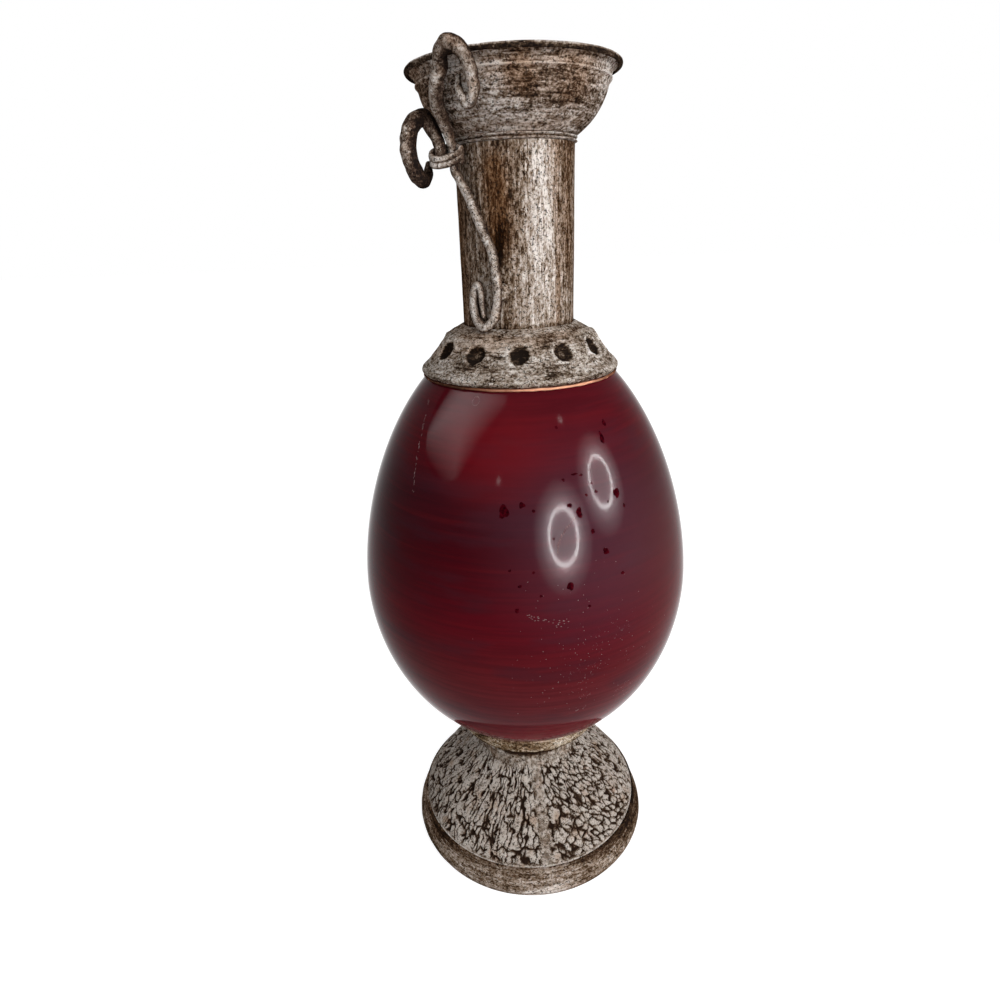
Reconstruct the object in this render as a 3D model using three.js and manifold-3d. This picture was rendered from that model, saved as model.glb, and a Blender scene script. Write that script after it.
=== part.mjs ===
// Metal vase: an egg-shaped lacquered body on a domed foot, under a dimpled shoulder collar,
// a straight neck and a flared cup, with a wrought vine tied in a knot beside the neck.
// Millimetres, +Z up. The origin is the centre of the base, on the surface that it stands on.
import * as THREE from "three";
import { mergeVertices } from "three/addons/utils/BufferGeometryUtils.js";
import Module from "manifold-3d";

const wasm = await Module();
wasm.setup();

// Common values
const SIDES = 36; // facets round each turned piece
const SMALL_SIDES = 16; // facets round the fasteners
const ROD_STEPS = 76; // rings along the long rod
const GAP = 0.3; // between two pieces that touch
const SHEET = 1.6; // wall of every sheet piece

// Plinth ring, open underneath
const PLINTH_RADIUS = 83; // widest, at the rolled band
const PLINTH_BASE_INSET = 1.5; // from the band in to the edge on the floor
const PLINTH_GROOVE_INSET = 5; // from the band in to the groove under the foot
const PLINTH_HEIGHT = 19.5;
const PLINTH_HEM = 5; // sheet turned in along the floor

// Foot: a cone that rises into a short stem
const FOOT_INSET = 6.3; // from the band of the plinth in to the edge of the cone
const FOOT_HEIGHT = 62.8; // cone and stem together
const STEM_RADIUS = 34.3;
const STEM_FILLET = 18; // height of the concave sweep from the cone into the stem

// Seat: the dish between stem and body, with its rounded band
const SEAT_RADIUS = 50.2;
const SEAT_THICKNESS = 3;
const SEAT_BAND_HEIGHT = 11;

// Body: an egg with its widest place low down
const BODY_RADIUS = 100.5;
const BODY_LOWER_HEIGHT = 119.3; // bottom of the egg to its widest place
const BODY_UPPER_HEIGHT = 152.6; // widest place to where the egg would close
const BODY_LOWER_FULLNESS = 1.95; // power of the outline: 2 is an ellipse
const BODY_UPPER_FULLNESS = 1.75;
const BODY_MOUTH_RADIUS = 36;

// Joint ring and collar on the shoulder
const JOINT_RADIUS = 53.6; // where the joint ring lies on the body
const JOINT_WIRE = 1.8;
const COLLAR_RADIUS = 55.7;
const COLLAR_HEIGHT = 25.4;
const DIMPLES = 12;
const DIMPLE_RADIUS = 6;
const DIMPLE_DEPTH = 2.2;
const DIMPLE_PLACE = 0.5; // share of the collar's slope from its top
const DIMPLE_TURN = -2; // degrees from the front to the nearest dimple

// Neck and the beaded ring between neck and cup
const NECK_RADIUS = 30.7;
const NECK_LENGTH = 87;
const NECK_INSERT = 12; // hidden end inside the collar
const BEAD_PROUD = 1.2; // ring beyond the neck
const BEAD_RING_HEIGHT = 2.8;

// Cup and rim
const CUP_RADIUS = 48; // wall just under the lip
const CUP_HEIGHT = 24.8;
const RIM_RADIUS = 53.4;
const RIM_WIRE = 2.6;
const LIP_HEIGHT = 5.4; // rise of the flared lip from wall to rim wire

// Vine: one long tapered rod, a side curl and the wire that ties them
const STEM_ROD = 4.2; // thickness on the neck
const HOOK_ROD = 6; // thickness beside the rim
const CURL_ROD = 8;
const CURL_END_ROD = 5.8; // thickness where the curl is tied
const TIE_WIRE = 2.6;
const TIE_TURNS = 2;
const TIE_PITCH = 2.8;
const TIE_TILT = 3.4; // how much lower the tie runs at the front
const TIE_LOW_TURN = -10; // where it runs lowest, in degrees from the front
const TIE_DROP = 5.4; // middle of the knot below the top of the neck
const KNOT_TURN = -54.5; // degrees from the front, to the left
const WELD_LENGTH = 9;
const WELD_WIDTH = 6;
const WELD_TURN = -15.8; // degrees from the front
const WELD_HEIGHT = 18.5; // above the collar

// Fastening of foot to body
const BOLT_SHANK = 8;
const BOLT_HEAD = 13; // across flats, also of the nut
const BOLT_HEAD_HEIGHT = 5.3;
const NUT_HEIGHT = 6.5;
const WASHER_RADIUS = 12;
const WASHER_THICKNESS = 1.6;
const BOLT_THREAD_SPARE = 3; // shank left below the nut

// Radii of plinth and foot, each from the band
const plinthBaseRadius = PLINTH_RADIUS - PLINTH_BASE_INSET;
const grooveRadius = PLINTH_RADIUS - PLINTH_GROOVE_INSET;
const footRadius = PLINTH_RADIUS - FOOT_INSET;

// Heights of the stack, each from the one below
const footBase = PLINTH_HEIGHT + GAP;
const stemTop = footBase + FOOT_HEIGHT;
const seatBase = stemTop + GAP;
const bodyBase = seatBase + SEAT_THICKNESS + GAP;
const bodyWaist = bodyBase + BODY_LOWER_HEIGHT;
const shoulderAngle = Math.atan((bodyHeightAt(JOINT_RADIUS - 1) - bodyHeightAt(JOINT_RADIUS + 1)) / 2);
const jointLift = GAP + JOINT_WIRE / 2;
const jointRadius = JOINT_RADIUS + jointLift * Math.sin(shoulderAngle);
const jointHeight = bodyHeightAt(JOINT_RADIUS) + jointLift * Math.cos(shoulderAngle);
const collarBase = jointHeight + JOINT_WIRE / 2 + GAP;
const collarTop = collarBase + COLLAR_HEIGHT;
const neckTop = collarTop + NECK_LENGTH;
const beadBase = neckTop + GAP;
const cupBase = beadBase + BEAD_RING_HEIGHT + GAP;
const lipBase = cupBase + CUP_HEIGHT;
const rimCentre = lipBase + LIP_HEIGHT - RIM_WIRE / 2 + GAP;
const rimTop = rimCentre + RIM_WIRE / 2;
const holeRadius = BOLT_SHANK / 2 + GAP;
const beadRadius = NECK_RADIUS + BEAD_PROUD;

// Height of the body's upper outline at a radius.
function bodyHeightAt(radius) {
  const share = 1 - (radius / BODY_RADIUS) ** 2;
  return bodyWaist + BODY_UPPER_HEIGHT * share ** (1 / BODY_UPPER_FULLNESS);
}

// Height of the body's lower outline at a radius.
function bodyFloorAt(radius) {
  const share = 1 - (radius / BODY_RADIUS) ** 2;
  return bodyWaist - BODY_LOWER_HEIGHT * share ** (1 / BODY_LOWER_FULLNESS);
}

// Materials
const metal = (color, roughness, metalness) =>
  new THREE.MeshStandardMaterial({ color, roughness, metalness });
const patina = () => metal(0x8d8176, 0.55, 0.7);
const plainSteel = () => metal(0x77746f, 0.45, 0.9);

// A named mesh from a geometry made with +Z up.
function piece(name, geometry, material) {
  const mesh = new THREE.Mesh(geometry, material);
  mesh.name = name;
  return mesh;
}

// Turns a closed outline of [radius, height] points round the Z axis.
function turned(outline) {
  const points = [...outline, outline[0]].map(([r, z]) => new THREE.Vector2(r, z));
  return new THREE.LatheGeometry(points, SIDES).rotateX(Math.PI / 2);
}

// A smooth run of [radius, height] points through the given ones.
function smooth(points, count) {
  const curve = new THREE.SplineCurve(points.map(([r, z]) => new THREE.Vector2(r, z)));
  return curve.getPoints(count).map((p) => [p.x, p.y]);
}

// Closes an open line of the outer face, bottom to top, with the same line one wall inwards.
// A steep end is cut level, so that it can stand on what is under it.
function sheetOutline(outer, wall = SHEET) {
  const last = outer.length - 1;
  const inner = outer.map(([r, z], i) => {
    const [r0, z0] = outer[Math.max(i - 1, 0)];
    const [r1, z1] = outer[Math.min(i + 1, last)];
    const length = Math.hypot(r1 - r0, z1 - z0);
    const rise = (z1 - z0) / length;
    const isEnd = i === 0 || i === last;
    if (isEnd && rise > 0.4) return [r - wall / rise, z];
    return [r - rise * wall, z + ((r1 - r0) / length) * wall];
  });
  return [...outer, ...inner.reverse()];
}

// A ring of round section.
function ringOutline(radius, height, thickness, corners) {
  return Array.from({ length: corners }, (_, i) => {
    const angle = (2 * Math.PI * (i + 0.5)) / corners;
    const reach = thickness / 2;
    return [radius + reach * Math.cos(angle), height + reach * Math.sin(angle)];
  });
}

// Solids for cutting and joining
function solid(geometry) {
  const bare = geometry.clone();
  bare.deleteAttribute("normal");
  bare.deleteAttribute("uv");
  const merged = mergeVertices(bare, 1e-4);
  return new wasm.Manifold(
    new wasm.Mesh({
      numProp: 3,
      vertProperties: merged.attributes.position.array,
      triVerts: new Uint32Array(merged.index.array),
    }),
  );
}

function geometryOf(manifold) {
  const mesh = manifold.getMesh();
  const geometry = new THREE.BufferGeometry();
  geometry.setAttribute("position", new THREE.BufferAttribute(mesh.vertProperties, 3));
  geometry.setIndex(new THREE.BufferAttribute(mesh.triVerts, 1));
  return geometry.toNonIndexed();
}

// Plinth: rolled band, groove and the ledge that carries the cone, with a hem along the floor
function plinth() {
  const band = smooth(
    [
      [plinthBaseRadius, 0],
      [PLINTH_RADIUS, PLINTH_HEIGHT * 0.22],
      [PLINTH_RADIUS - 1.6, PLINTH_HEIGHT * 0.5],
      [grooveRadius + 1, PLINTH_HEIGHT * 0.72],
      [grooveRadius, PLINTH_HEIGHT],
    ],
    6,
  );
  const ledge = footRadius - 8;
  const inside = grooveRadius - SHEET;
  const outline = [
    ...band,
    [ledge, PLINTH_HEIGHT],
    [ledge, PLINTH_HEIGHT - SHEET],
    [inside, PLINTH_HEIGHT - SHEET],
    [PLINTH_RADIUS - 1.6 - SHEET, PLINTH_HEIGHT * 0.5],
    [plinthBaseRadius - SHEET, SHEET],
    [plinthBaseRadius - PLINTH_HEM, SHEET],
    [plinthBaseRadius - PLINTH_HEM, 0],
  ];
  return piece("foot_plinth", turned(outline), patina());
}

// Foot cone: straight flank, concave sweep into the stem, and a top plate with the bolt hole
function footCone() {
  const sweep = stemTop - STEM_FILLET;
  const flank = smooth(
    [
      [footRadius, footBase],
      [THREE.MathUtils.lerp(footRadius, STEM_RADIUS, 0.27), footBase + FOOT_HEIGHT * 0.26],
      [THREE.MathUtils.lerp(footRadius, STEM_RADIUS, 0.75), footBase + FOOT_HEIGHT * 0.56],
      [STEM_RADIUS + 1.9, sweep],
      [STEM_RADIUS, stemTop - STEM_FILLET * 0.45],
      [STEM_RADIUS, stemTop],
    ],
    7,
  );
  const wall = sheetOutline(flank);
  const plate = [
    [holeRadius, stemTop],
    [holeRadius, stemTop - SHEET],
    [STEM_RADIUS - SHEET, stemTop - SHEET],
  ];
  const outline = [...wall.slice(0, flank.length), ...plate, ...wall.slice(flank.length + 1)];
  return piece("foot_cone", turned(outline), patina());
}

// Seat: dish that follows the underside of the body, with a rounded band round its edge
function seat() {
  const bodyEdge = bodyFloorAt(SEAT_RADIUS - 1.2) - GAP;
  const bandBase = bodyEdge - SEAT_BAND_HEIGHT;
  const edge = SEAT_RADIUS - 1.2;
  const dish = (offset) =>
    Array.from({ length: 7 }, (_, i) => {
      const radius = THREE.MathUtils.lerp(holeRadius, edge, i / 6);
      return [radius, bodyFloorAt(radius) - offset];
    });
  const under = dish(GAP + SEAT_THICKNESS).filter(([r]) => r < SEAT_RADIUS - 6);
  const band = [
    [SEAT_RADIUS - 5, bandBase + 1.5],
    [SEAT_RADIUS - 1.5, bandBase],
    [SEAT_RADIUS - 0.2, bandBase + 1.5],
    [SEAT_RADIUS, bandBase + SEAT_BAND_HEIGHT * 0.4],
    [SEAT_RADIUS - 0.3, bodyEdge - 2],
  ];
  const outline = [...under, ...band, ...dish(GAP).reverse()];
  return piece("stem_seat", turned(outline), patina());
}

// Body: an egg of two spun shells that meet at the widest place. The lower one has the bolt
// hole and the upper one has the mouth.
const holeAngle = -Math.acos(holeRadius / BODY_RADIUS);
const mouthAngle = Math.acos(BODY_MOUTH_RADIUS / BODY_RADIUS);

function bodyFace(low, high) {
  const LEVELS = 7;
  return Array.from({ length: LEVELS + 1 }, (_, i) => {
    const angle = low + ((high - low) * i) / LEVELS;
    const radius = BODY_RADIUS * Math.cos(angle);
    return [radius, angle < 0 ? bodyFloorAt(radius) : bodyHeightAt(radius)];
  });
}

const lowerFace = bodyFace(holeAngle, 0);
lowerFace[lowerFace.length - 1][1] -= GAP;

function bodyShells() {
  const lacquer = () => metal(0x6b0f18, 0.25, 0.3);
  return [
    piece("body_lower_shell", turned(sheetOutline(lowerFace)), lacquer()),
    piece("body_upper_shell", turned(sheetOutline(bodyFace(0, mouthAngle))), lacquer()),
  ];
}

// Joint ring: the thin coppery line between collar and body
function jointRing() {
  const outline = ringOutline(jointRadius, jointHeight, JOINT_WIRE, 6);
  return piece("joint_ring", turned(outline), metal(0xb86a3e, 0.45, 0.6));
}

// Outer face of the collar from its foot up to the neck
function collarFace() {
  const top = NECK_RADIUS + 0.9;
  const reach = COLLAR_RADIUS - top;
  return smooth(
    [
      [jointRadius + 0.4, collarBase],
      [COLLAR_RADIUS, collarBase + COLLAR_HEIGHT * 0.1],
      [top + reach * 0.77, collarBase + COLLAR_HEIGHT * 0.32],
      [top + reach * 0.57, collarBase + COLLAR_HEIGHT * 0.56],
      [top + reach * 0.39, collarBase + COLLAR_HEIGHT * 0.78],
      [top + reach * 0.15, collarBase + COLLAR_HEIGHT * 0.92],
      [top, collarTop],
    ],
    8,
  );
}

// Collar: a sheet ring with round dimples punched in from outside
function collar() {
  const face = collarFace();
  const hole = NECK_RADIUS + GAP;
  const wall = sheetOutline(face);
  const lip = [
    [hole, collarTop],
    [hole, collarTop - SHEET],
  ];
  const inner = wall.slice(face.length + 1);
  const sheet = solid(turned([...face, ...lip, ...inner]));
  const filled = solid(turned([...face, [hole, collarTop], [hole, collarBase]]));

  const place = face.length - 1 - Math.round(DIMPLE_PLACE * (face.length - 1));
  const [r0, z0] = face[place - 1];
  const [r1, z1] = face[place + 1];
  const length = Math.hypot(r1 - r0, z1 - z0);
  const ball = (DIMPLE_RADIUS ** 2 + DIMPLE_DEPTH ** 2) / (2 * DIMPLE_DEPTH);
  const outward = ball - DIMPLE_DEPTH;
  const centreRadius = face[place][0] + ((z1 - z0) / length) * outward;
  const centreHeight = face[place][1] - ((r1 - r0) / length) * outward;
  const balls = (radius, sides) =>
    Array.from({ length: DIMPLES }, (_, i) => {
      const turn = THREE.MathUtils.degToRad(DIMPLE_TURN) + (2 * Math.PI * i) / DIMPLES;
      const shape = new THREE.SphereGeometry(radius, sides, sides / 2);
      shape.translate(
        centreRadius * Math.sin(turn),
        -centreRadius * Math.cos(turn),
        centreHeight,
      );
      return solid(shape);
    });
  const bulges = balls(ball + SHEET, 8).map((bulge) => bulge.intersect(filled));
  const bulged = bulges.reduce((whole, bulge) => whole.add(bulge), sheet);
  const dimpled = balls(ball, 10).reduce((whole, pit) => whole.subtract(pit), bulged);
  return piece("shoulder_collar", geometryOf(dimpled), patina());
}

// Neck: straight tube whose lower end is hidden inside the collar
function neck() {
  const low = collarTop - NECK_INSERT;
  const outline = [
    [NECK_RADIUS, low],
    [NECK_RADIUS, neckTop],
    [NECK_RADIUS - SHEET, neckTop],
    [NECK_RADIUS - SHEET, low],
  ];
  return piece("neck_tube", turned(outline), patina());
}

// Beaded ring between neck and cup
function beadRing() {
  const bore = NECK_RADIUS - SHEET;
  const waist = beadRadius - 0.7;
  const outline = [
    [waist, beadBase],
    [beadRadius, beadBase + BEAD_RING_HEIGHT * 0.22],
    [waist, beadBase + BEAD_RING_HEIGHT * 0.5],
    [beadRadius, beadBase + BEAD_RING_HEIGHT * 0.78],
    [waist, beadBase + BEAD_RING_HEIGHT],
    [bore, beadBase + BEAD_RING_HEIGHT],
    [bore, beadBase],
  ];
  return piece("cup_bead_ring", turned(outline), patina());
}

// Outer face of the cup: a round bowl, an upright wall with a raised line, and the flared lip
function cupFace() {
  const foot = beadRadius - 0.4;
  const reach = CUP_RADIUS - foot;
  const bowl = smooth(
    [
      [foot, cupBase],
      [foot + reach * 0.24, cupBase + CUP_HEIGHT * 0.12],
      [foot + reach * 0.5, cupBase + CUP_HEIGHT * 0.28],
      [foot + reach * 0.7, cupBase + CUP_HEIGHT * 0.46],
      [foot + reach * 0.87, cupBase + CUP_HEIGHT * 0.68],
      [foot + reach * 0.96, cupBase + CUP_HEIGHT * 0.88],
    ],
    6,
  );
  const lipEnd = RIM_RADIUS - RIM_WIRE - GAP;
  return [
    ...bowl,
    [CUP_RADIUS + 1.2, cupBase + CUP_HEIGHT * 0.94],
    [CUP_RADIUS + 0.2, lipBase],
    [THREE.MathUtils.lerp(CUP_RADIUS, lipEnd, 0.5), lipBase + LIP_HEIGHT * 0.4],
    [lipEnd, lipBase + LIP_HEIGHT - RIM_WIRE / 2],
  ];
}

function cup() {
  return piece("mouth_cup", turned(sheetOutline(cupFace())), patina());
}

// Rim: the rolled wire that edges the cup
function rim() {
  const outline = ringOutline(RIM_RADIUS - RIM_WIRE / 2, rimCentre, RIM_WIRE, 8);
  return piece("rim_wire", turned(outline), patina());
}

// Widest place of neck, bead ring, cup or rim within a reach above and below a height
function outsideAt(height, reach) {
  const line = [
    [NECK_RADIUS, collarTop],
    [NECK_RADIUS, neckTop],
    [beadRadius, beadBase],
    [beadRadius, cupBase],
    ...cupFace().slice(0, -1),
    [RIM_RADIUS, rimCentre - RIM_WIRE / 2],
    [RIM_RADIUS, rimTop + 2 * HOOK_ROD],
  ];
  const levels = [-1, -0.5, 0, 0.5, 1].map((share) => height + share * reach);
  const radii = levels.map((level) => {
    const above = line.findIndex(([, z]) => z >= level);
    if (above < 1) return NECK_RADIUS;
    const [r0, z0] = line[above - 1];
    const [r1, z1] = line[above];
    return THREE.MathUtils.mapLinear(level, z0, z1, r0, r1);
  });
  return Math.max(...radii);
}

// A place beside the vase: degrees round it from the front, radius and height.
function around(degrees, radius, height) {
  const turn = THREE.MathUtils.degToRad(degrees);
  return new THREE.Vector3(radius * Math.sin(turn), -radius * Math.cos(turn), height);
}

// A rod of changing thickness along a smooth line through its stations, with rounded ends.
function rodGeometry(stations, steps, corners, extra = 0) {
  const curve = new THREE.CatmullRomCurve3(
    stations.map((station) => station.at),
    false,
    "centripetal",
  );
  const frames = curve.computeFrenetFrames(steps, false);
  const radiusAt = (share) => {
    const along = curve.getUtoTmapping(share) * (stations.length - 1);
    const first = Math.min(Math.floor(along), stations.length - 2);
    const [a, b] = [stations[first].thickness, stations[first + 1].thickness];
    return THREE.MathUtils.lerp(a, b, along - first) / 2 + extra;
  };
  const rings = [];
  const addRing = (i, push, swell) => {
    const share = i / steps;
    const radius = radiusAt(share);
    const centre = curve.getPointAt(share).addScaledVector(frames.tangents[i], push * radius);
    rings.push({ centre, radius: radius * swell, i });
  };
  addRing(0, -0.7, 0.65);
  for (let i = 0; i <= steps; i++) addRing(i, 0, 1);
  addRing(steps, 0.7, 0.65);
  const vertices = rings.flatMap(({ centre, radius, i }) =>
    Array.from({ length: corners }, (_, k) => {
      const angle = (2 * Math.PI * k) / corners;
      return centre
        .clone()
        .addScaledVector(frames.normals[i], radius * Math.cos(angle))
        .addScaledVector(frames.binormals[i], radius * Math.sin(angle));
    }),
  );
  const tip = (ring, way) =>
    ring.centre.clone().addScaledVector(frames.tangents[ring.i], way * ring.radius * 0.45);
  vertices.push(tip(rings[0], -1), tip(rings[rings.length - 1], 1));
  const faces = [];
  for (let ring = 0; ring < rings.length - 1; ring++) {
    for (let k = 0; k < corners; k++) {
      const a = ring * corners + k;
      const b = ring * corners + ((k + 1) % corners);
      faces.push(a, b, a + corners, b, b + corners, a + corners);
    }
  }
  const lastRing = (rings.length - 1) * corners;
  for (let k = 0; k < corners; k++) {
    const next = (k + 1) % corners;
    faces.push(vertices.length - 2, next, k);
    faces.push(vertices.length - 1, lastRing + k, lastRing + next);
  }
  const geometry = new THREE.BufferGeometry().setFromPoints(vertices);
  geometry.setIndex(faces);
  return geometry;
}

// Places of the knot: the long rod lies nearer the neck, the end of the curl outside it
const knotHeight = neckTop - TIE_DROP;
const tieReach = CURL_END_ROD / 2 + GAP + TIE_WIRE / 2;
const knotRodRadius = beadRadius + GAP + TIE_WIRE / 2 + tieReach;
const curlTurn = KNOT_TURN - 4;
const rodsApart = (STEM_ROD + CURL_END_ROD) / 2 + GAP;
const sideStep = 2 * knotRodRadius * Math.sin(THREE.MathUtils.degToRad(KNOT_TURN - curlTurn) / 2);
const knotCurlRadius = knotRodRadius + Math.sqrt(rodsApart ** 2 - sideStep ** 2) + GAP;
const knotHalf = (TIE_TURNS * TIE_PITCH) / 2 + TIE_WIRE / 2;

// Long rod: a flat scroll low on the neck, up across it to the knot, and the hook over the rim
function longRodStations() {
  const onNeck = NECK_RADIUS + GAP + STEM_ROD / 2;
  const scroll = [
    [-35.5, 7, 0, 0.5],
    [-36.3, 12.5, 0, 0.7],
    [-37, 18.5, 0, 0.82],
    [-40.5, 22.4, 0, 0.88],
    [-44.5, 19, 0, 0.92],
    [-46, 11.5, 0, 1],
    [-42, 4.6, 0.4, 1],
    [-33.5, 1.2, 1.9, 1],
    [-25, 4.8, 0.4, 1],
    [-21, 13.5, 0, 1],
  ].map(([turn, over, out, share]) => ({
    at: around(turn, onNeck + out, collarTop + over),
    thickness: STEM_ROD * share,
  }));
  const climb = [
    [-20.5, 0.25],
    [-22, 0.34],
    [-24.5, 0.44],
    [-29.5, 0.51],
    [-37, 0.61],
    [-45.5, 0.72],
  ].map(([turn, share]) => ({
    at: around(turn, onNeck, collarTop + share * NECK_LENGTH),
    thickness: STEM_ROD,
  }));
  const knot = [
    [-5, -2.6],
    [-1, -0.4],
    [2 * knotHalf, 0],
  ].map(([over, out]) => ({
    at: around(KNOT_TURN, knotRodRadius + out, knotHeight - knotHalf + over),
    thickness: STEM_ROD,
  }));
  const risen = (cupBase - knotHeight) / 2;
  const hook = [
    [-52.5, cupBase - rimTop + risen / 2, 0.3, 0.95],
    [-47.5, -19.5, 0.8, 1.05],
    [-41.5, -12.5, 3, 1.05],
    [-37.5, -6.8, 0.2, 1.05],
    [-33.5, -1.6, 1.2, 1.1],
    [-29.5, 0.4, 1.8, 1.15],
    [-24.6, -1.8, 1.2, 1.08],
    [-22.3, -6, 0.2, 1],
    [-21.5, -11, 2.5, 0.95],
    [-22, -16, 1.5, 0.9],
    [-24, -19.8, 2.5, 0.86],
    [-26.6, -20.8, 3, 0.8],
    [-29, -18, 3.5, 0.68],
    [-30, -14, 3, 0.54],
    [-29.8, -10.8, 2.6, 0.36],
  ].map(([turn, over, stand, share]) => {
    const thickness = HOOK_ROD * share;
    const height = rimTop + over;
    const radius = outsideAt(height, thickness / 2) + GAP + thickness / 2 + stand;
    return { at: around(turn, radius, height), thickness };
  });
  return [...scroll, ...climb, ...knot, ...hook];
}

function longRod(stations) {
  return piece("vine_rod", rodGeometry(stations, ROD_STEPS, 8), patina());
}

// Side curl: from the knot out to the left, round and back up to a tapered tip
function curl() {
  const tied = [-knotHalf + 2, knotHalf - 0.3].map((over) => ({
    at: around(curlTurn, knotCurlRadius, knotHeight + over),
    thickness: CURL_END_ROD,
  }));
  const free = [
    [-61, 2.4, 11.6, 0.86],
    [-62, 6, 16.2, 0.95],
    [-62.5, 10, 15.6, 1],
    [-62.5, 13.5, 11.2, 1.04],
    [-62.5, 14.9, 5, 1.04],
    [-62.5, 14.3, -1.6, 1],
    [-63, 11.4, -7.8, 0.92],
    [-65, 7.6, -10.4, 0.82],
    [-68, 4.3, -7.8, 0.62],
    [-70, 3, -3, 0.46],
  ].map(([turn, out, over, share]) => ({
    at: around(turn, knotCurlRadius + out, knotHeight + over),
    thickness: CURL_ROD * share,
  }));
  return piece("vine_curl", rodGeometry([...tied, ...free], 30, 8), patina());
}

// Tie: wire wound round both rods, lower on its outer side
function tie() {
  const inner = around(KNOT_TURN, knotRodRadius, 0);
  const outer = around(curlTurn, knotCurlRadius, 0);
  const middle = inner.clone().add(outer).multiplyScalar(0.5);
  const across = outer.clone().sub(inner);
  const half = across.length() / 2;
  across.normalize();
  const beside = new THREE.Vector3(-across.y, across.x, 0);
  const lowSide = around(TIE_LOW_TURN, 1 / tieReach, 0);
  const STEPS = 16 * TIE_TURNS;
  const stations = Array.from({ length: STEPS + 1 }, (_, i) => {
    const turns = (i / STEPS) * TIE_TURNS;
    const angle = 2 * Math.PI * turns + Math.PI * 0.9;
    const along = half * Math.tanh(2.5 * Math.cos(angle)) + tieReach * Math.cos(angle);
    const offset = new THREE.Vector3()
      .addScaledVector(across, along)
      .addScaledVector(beside, tieReach * Math.sin(angle));
    const at = middle.clone().add(offset);
    at.z = knotHeight + (turns - TIE_TURNS / 2) * TIE_PITCH - TIE_TILT * offset.dot(lowSide);
    return { at, thickness: TIE_WIRE };
  });
  return piece("vine_tie", rodGeometry(stations, STEPS, 6), patina());
}

// Weld bead that holds the long rod against the neck
function weld(stations) {
  const bead = new THREE.SphereGeometry(1, 14, 10);
  bead.scale(WELD_WIDTH / 2, WELD_WIDTH / 2, WELD_LENGTH / 2);
  const at = around(WELD_TURN, NECK_RADIUS + GAP, collarTop + WELD_HEIGHT);
  bead.translate(at.x, at.y, at.z);
  const inside = NECK_RADIUS + GAP;
  const core = solid(
    turned([
      [0, collarTop],
      [inside, collarTop],
      [inside, neckTop],
      [0, neckTop],
    ]),
  );
  const cleared = solid(rodGeometry(stations, ROD_STEPS, 8, GAP));
  return piece("vine_weld", geometryOf(solid(bead).subtract(core).subtract(cleared)), patina());
}

// Fasteners: a bolt through foot, seat and body, with its washers and nut
function ring(outerRadius, innerRadius, low, thickness) {
  const outline = [
    [outerRadius, low],
    [outerRadius, low + thickness],
    [innerRadius, low + thickness],
    [innerRadius, low],
  ].map(([r, z]) => new THREE.Vector2(r, z));
  return new THREE.LatheGeometry([...outline, outline[0]], SMALL_SIDES).rotateX(Math.PI / 2);
}

function hexagon(hole) {
  const corner = BOLT_HEAD / 2 / Math.cos(Math.PI / 6);
  const corners = Array.from({ length: 6 }, (_, i) => {
    const angle = (Math.PI / 3) * i;
    return new THREE.Vector2(corner * Math.cos(angle), corner * Math.sin(angle));
  });
  const shape = new THREE.Shape(corners);
  if (hole) shape.holes.push(new THREE.Path().absarc(0, 0, hole, 0, 2 * Math.PI, true));
  return shape;
}

function hexPrism(low, height, hole) {
  const options = { depth: height, bevelEnabled: false, curveSegments: SMALL_SIDES };
  return new THREE.ExtrudeGeometry(hexagon(hole), options).translate(0, 0, low);
}

function fasteners() {
  const [[r0, z0], [r1, z1]] = lowerFace;
  const floor = THREE.MathUtils.mapLinear(WASHER_RADIUS, r0, r1, z0, z1);
  const upperWasher = floor + SHEET + GAP;
  const headBase = upperWasher + WASHER_THICKNESS + GAP;
  const lowerWasher = stemTop - SHEET - GAP - WASHER_THICKNESS;
  const nutBase = lowerWasher - GAP - NUT_HEIGHT;
  const shankEnd = nutBase - BOLT_THREAD_SPARE;
  const head = solid(hexPrism(headBase, BOLT_HEAD_HEIGHT, 0));
  const length = headBase + BOLT_HEAD_HEIGHT / 2 - shankEnd;
  const shank = new THREE.CylinderGeometry(BOLT_SHANK / 2, BOLT_SHANK / 2, length, SMALL_SIDES);
  shank.rotateX(Math.PI / 2).translate(0, 0, shankEnd + length / 2);
  return [
    piece("foot_bolt", geometryOf(head.add(solid(shank))), plainSteel()),
    piece("bolt_washer", ring(WASHER_RADIUS, holeRadius, upperWasher, WASHER_THICKNESS), plainSteel()),
    piece("nut_washer", ring(WASHER_RADIUS, holeRadius, lowerWasher, WASHER_THICKNESS), plainSteel()),
    piece("foot_nut", hexPrism(nutBase, NUT_HEIGHT, holeRadius), plainSteel()),
  ];
}

const rodStations = longRodStations();

export default new THREE.Group().add(
  plinth(),
  footCone(),
  seat(),
  ...bodyShells(),
  jointRing(),
  collar(),
  neck(),
  beadRing(),
  cup(),
  rim(),
  longRod(rodStations),
  curl(),
  tie(),
  weld(rodStations),
  ...fasteners(),
);
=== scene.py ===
# %% [markdown]
# # A sheet metal vase with a wrought vine
#
# The vase is a stack of sheet metal pieces. A hammered foot stands on a plinth ring, and a
# red lacquered egg rests on it in a shallow seat. Above come a collar with punched dimples,
# a straight neck and a flared cup, and a wrought vine is tied beside the neck.
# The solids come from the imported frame. This lesson puts a finely shaped and finished piece
# in the place of each solid that shows.

# %% Load the frame
import math

import bpy
import numpy as np
from mathutils import Matrix, Vector, noise


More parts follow.
